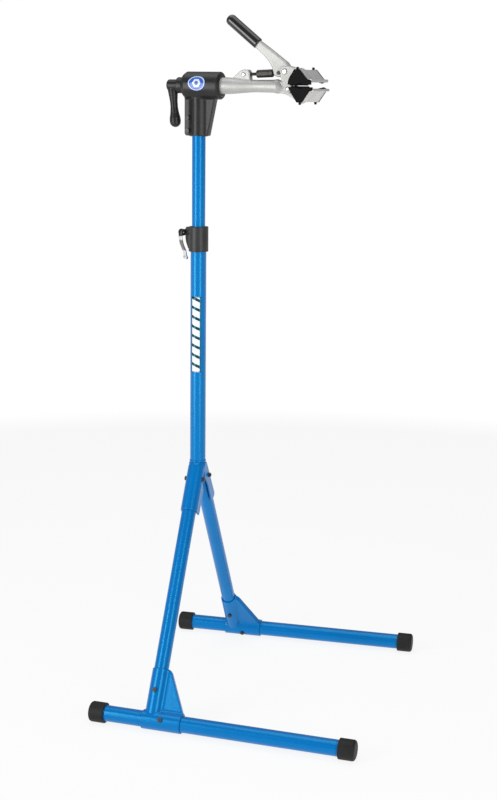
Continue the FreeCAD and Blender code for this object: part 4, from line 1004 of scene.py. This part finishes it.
def buildPanel():
    rows, columns = 60, 24
    radius = stand["postOuter"] / 2
    outer, inner, uvs = [], [], []
    for row in range(rows + 1):
        for column in range(columns + 1):
            u, v = row / rows, column / columns
            angle = math.radians(panel["facing"] + panel["half"] * (2 * v - 1))
            z = (panel["bottom"] + (panel["top"] - panel["bottom"]) * u) / mm
            edge = row in (0, rows) or column in (0, columns)
            for store, r in ((outer, radius + panel["proud"] - (0.1 if edge else 0)), (inner, radius + 0.05)):
                store.append(Vector((postX + r * math.cos(angle), r * math.sin(angle), z)))
            uvs.append((u, v))
    wide = columns + 1
    faces = [[r * wide + c, r * wide + c + 1, (r + 1) * wide + c + 1, (r + 1) * wide + c]
             for r in range(rows) for c in range(columns)]
    rim = [(c, c + 1) for c in range(columns)]
    rim += [(r * wide + columns, (r + 1) * wide + columns) for r in range(rows)]
    rim += [(rows * wide + c + 1, rows * wide + c) for c in range(columns)]
    rim += [((r + 1) * wide, r * wide) for r in range(rows)]
    material = patternMaterial("stripe_panel", "blue_paint", drawPanel)
    return closedPlate("post_stripe_panel", outer, inner, uvs, faces, rim, material, "base", ())


buildBadge()
buildPanel()
print("badge and stripe panel built")

# thread ridges, repeated with geometry nodes


def ridgeTree():
    tree = bpy.data.node_groups.new("ridgeStack", "GeometryNodeTree")
    tree.is_modifier = True
    for name, kind, value in (
            ("Geometry", "Geometry", None), ("Count", "Int", 10), ("Start", "Vector", (0, 0, 0)),
            ("Step", "Vector", (0, 0, 0.001)), ("Turn", "Rotation", None), ("Ring Radius", "Float", 0.004),
            ("Ridge Radius", "Float", 0.0004), ("Material", "Material", None)):
        addSocket(tree, name, "NodeSocket" + kind, value)
    addSocket(tree, "Geometry", "NodeSocketGeometry", out=True)
    given = addNode(tree, "NodeGroupInput").outputs
    line = addNode(tree, "GeometryNodeMeshLine", {"Count": given["Count"], "Start Location": given["Start"],
                                                  "Offset": given["Step"]}, mode="OFFSET")
    circle = "GeometryNodeCurvePrimitiveCircle"
    ringCurve = addNode(tree, circle, {"Resolution": 32, "Radius": given["Ring Radius"]})
    ridge = addNode(tree, circle, {"Resolution": 6, "Radius": given["Ridge Radius"]})
    swept = addNode(tree, "GeometryNodeCurveToMesh", {"Curve": ringCurve.outputs[0],
                                                      "Profile Curve": ridge.outputs[0]})
    spread = addNode(tree, "GeometryNodeInstanceOnPoints", {
        "Points": line.outputs[0], "Instance": swept.outputs[0], "Rotation": given["Turn"]})
    real = addNode(tree, "GeometryNodeRealizeInstances", {0: spread.outputs[0]})
    paint = addNode(tree, "GeometryNodeSetMaterial", {"Geometry": real.outputs[0],
                                                      "Material": given["Material"]})
    addNode(tree, "NodeGroupOutput", {0: paint.outputs[0]})
    return tree


ridgeStack = ridgeTree()


def buildRidges(name, place, start, end, pitch, ringRadius, ridgeRadius, slotName, body):
    first, last = place @ Vector(start), place @ Vector(end)
    way = (last - first).normalized()
    holder = addObject(name + "Holder", bpy.data.meshes.new(name + "Holder"))
    modifier = holder.modifiers.new("ridges", "NODES")
    modifier.node_group = ridgeStack
    values = {"Count": max(int((last - first).length / pitch), 2), "Start": tuple(first * mm),
              "Step": tuple(way * pitch * mm), "Turn": way.to_track_quat("Z", "Y").to_euler(),
              "Ring Radius": ringRadius * mm, "Ridge Radius": ridgeRadius * mm,
              "Material": materials[slotName]}
    for item in ridgeStack.interface.items_tree:
        if item.in_out == "INPUT" and item.name in values:
            modifier[item.identifier] = values[item.name]
    evaluated = holder.evaluated_get(bpy.context.evaluated_depsgraph_get())
    mesh = bpy.data.meshes.new_from_object(evaluated)
    bpy.data.objects.remove(holder)
    mesh.name = name
    piece = addObject(name, mesh)
    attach(piece, body)
    print("  ", name, len(mesh.polygons), "faces")
    return piece


linkStart, linkEnd = (Vector((clamp[pivot][0], 0, clamp[pivot][1])) for pivot in ("linkPivot", "togglePivot"))
linkWay = (linkEnd - linkStart).normalized()
thread = {"start": 8.5, "end": 29.5, "pitch": 1.0, "radius": 3.25, "ridge": 0.35}
buildRidges("link_thread", headPlace, linkStart + linkWay * thread["start"],
            linkStart + linkWay * thread["end"],
            thread["pitch"], thread["radius"], thread["ridge"], "dark_steel", "link")
print("thread built")

# finishes on the parts that keep their own shape

slotOf = {"nylon": ("barrel_bush", "guide_bush", "mast_glide", "pivot_bush", "mast_plug", "cam_seat"),
          "bright_steel": ("link_pin", "jaw_pin", "handle_pin", "skewer", "cam_pin"),
          "dark_steel": ("bolt", "nut", "screws", "toggle_pin", "link_rod", "adjuster", "lock_stud", "clip"),
          "blue_paint": ("leg_tube", "foot_tube", "mast_tube", "lower_post")}


def slotFor(name):
    for slotName in ("nylon", "blue_paint", "bright_steel", "dark_steel"):
        if any(word in name for word in slotOf[slotName]):
            return slotName
    return "dark_steel"


for name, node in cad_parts.items():
    if node.hide_render:
        continue
    material = materials[slotFor(name)]
    if not node.material_slots:
        node.data.materials.append(material)
    for materialSlot in node.material_slots:
        materialSlot.link = "OBJECT"
        materialSlot.material = material
    print("   kept", name, slotFor(name))

# floor, light and camera

studio = {"floorRadius": 14.0, "floorHeight": -0.0004, "floorShade": (0.86, 0.87, 0.88), "softBoxes": (
    {"at": (-1.95, -2.55, 1.15), "size": (1.2, 2.6), "power": 62.0},
    {"at": (2.15, -2.20, 1.25), "size": (1.0, 2.6), "power": 42.0},
    {"at": (-0.2, 0.1, 4.2), "size": (3.2, 3.2), "power": 60.0}),
    "aim": (-0.1, 0.0, 0.85), "world": 0.36, "floorGlow": 0.86}


def buildFloor():
    mesh = bpy.data.meshes.new("studioFloor")
    count, radius = 96, studio["floorRadius"]
    rim = [(radius * math.cos(2 * math.pi * k / count), radius * math.sin(2 * math.pi * k / count),
            studio["floorHeight"]) for k in range(count)]
    mesh.from_pydata(rim, [], [list(range(count))])
    made = nodeMaterial("paleFloor")
    tree = made.node_tree
    tree.nodes.clear()
    where = addNode(tree, "ShaderNodeTexCoord").outputs["Object"]
    reach = addNode(tree, "ShaderNodeVectorMath", {0: where}, operation="LENGTH").outputs["Value"]
    fade = mathNode(tree, "MAXIMUM", ramp(tree, reach, 0.7, 1 / 2.6), studio["floorGlow"])
    speckle = noiseNode(tree, where, 3.0, 2.0)
    shade = mixColour(tree, speckle, (*studio["floorShade"], 1), (0.90, 0.90, 0.91, 1))
    diffuse = addNode(tree, "ShaderNodeBsdfDiffuse", {"Color": shade}).outputs[0]
    glow = addNode(tree, "ShaderNodeEmission", {"Color": (1, 1, 1, 1)}).outputs[0]
    mix = addNode(tree, "ShaderNodeMixShader", {"Fac": fade, 1: diffuse, 2: glow}).outputs[0]
    addNode(tree, "ShaderNodeOutputMaterial", {"Surface": mix})
    mesh.materials.append(made)
    addObject("studioFloor", mesh)


def buildLights():
    for index, box in enumerate(studio["softBoxes"]):
        light = bpy.data.lights.new(f"softBox{index}", "AREA")
        light.shape = "RECTANGLE"
        light.size, light.size_y = box["size"]
        light.energy = box["power"]
        holder = addObject(f"softBox{index}", light)
        holder.location = box["at"]
        way = Vector(studio["aim"]) - Vector(box["at"])
        if index < 2:  # the side boxes stand upright
            way.z = 0
        holder.rotation_mode = "QUATERNION"
        holder.rotation_quaternion = way.to_track_quat("-Z", "Y")


def buildWorld():
    world = bpy.data.worlds.new("studioAir")
    world.use_nodes = True
    tree = world.node_tree
    tree.nodes.clear()
    air = "ShaderNodeBackground"
    felt = addNode(tree, air, {"Color": (0.95, 0.97, 1, 1), "Strength": studio["world"]}).outputs[0]
    seen = addNode(tree, air, {"Color": (1, 1, 1, 1), "Strength": 1.0}).outputs[0]
    path = addNode(tree, "ShaderNodeLightPath").outputs["Is Camera Ray"]
    mix = addNode(tree, "ShaderNodeMixShader", {"Fac": path, 1: felt, 2: seen}).outputs[0]
    addNode(tree, "ShaderNodeOutputWorld", {"Surface": mix})
    scene.world = world


camera = {"at": (0.96440, -3.42522, 1.48536), "right": (0.95920998, 0.28250647, 0.01031073),
          "up": (-0.06786371, 0.19470842, 0.97851068), "nudge": 0.0004, "lens": 67.5, "sensor": 36.0}


def buildCamera():
    made = bpy.data.cameras.new("studioCamera")
    made.lens = camera["lens"]
    made.sensor_width = camera["sensor"]
    made.sensor_fit = "AUTO"
    made.clip_end = 60
    holder = addObject("studioCamera", made)
    right, up = Vector(camera["right"]), Vector(camera["up"])
    back = right.cross(up)
    back = (back + right * camera["nudge"]).normalized()
    right = up.cross(back).normalized()
    up = back.cross(right)
    holder.matrix_world = Matrix.Translation(camera["at"]) @ Matrix((right, up, back)).transposed().to_4x4()
    scene.camera = holder


buildFloor()
buildLights()
buildWorld()
buildCamera()
scene.view_settings.view_transform = "Standard"
print("studio ready")
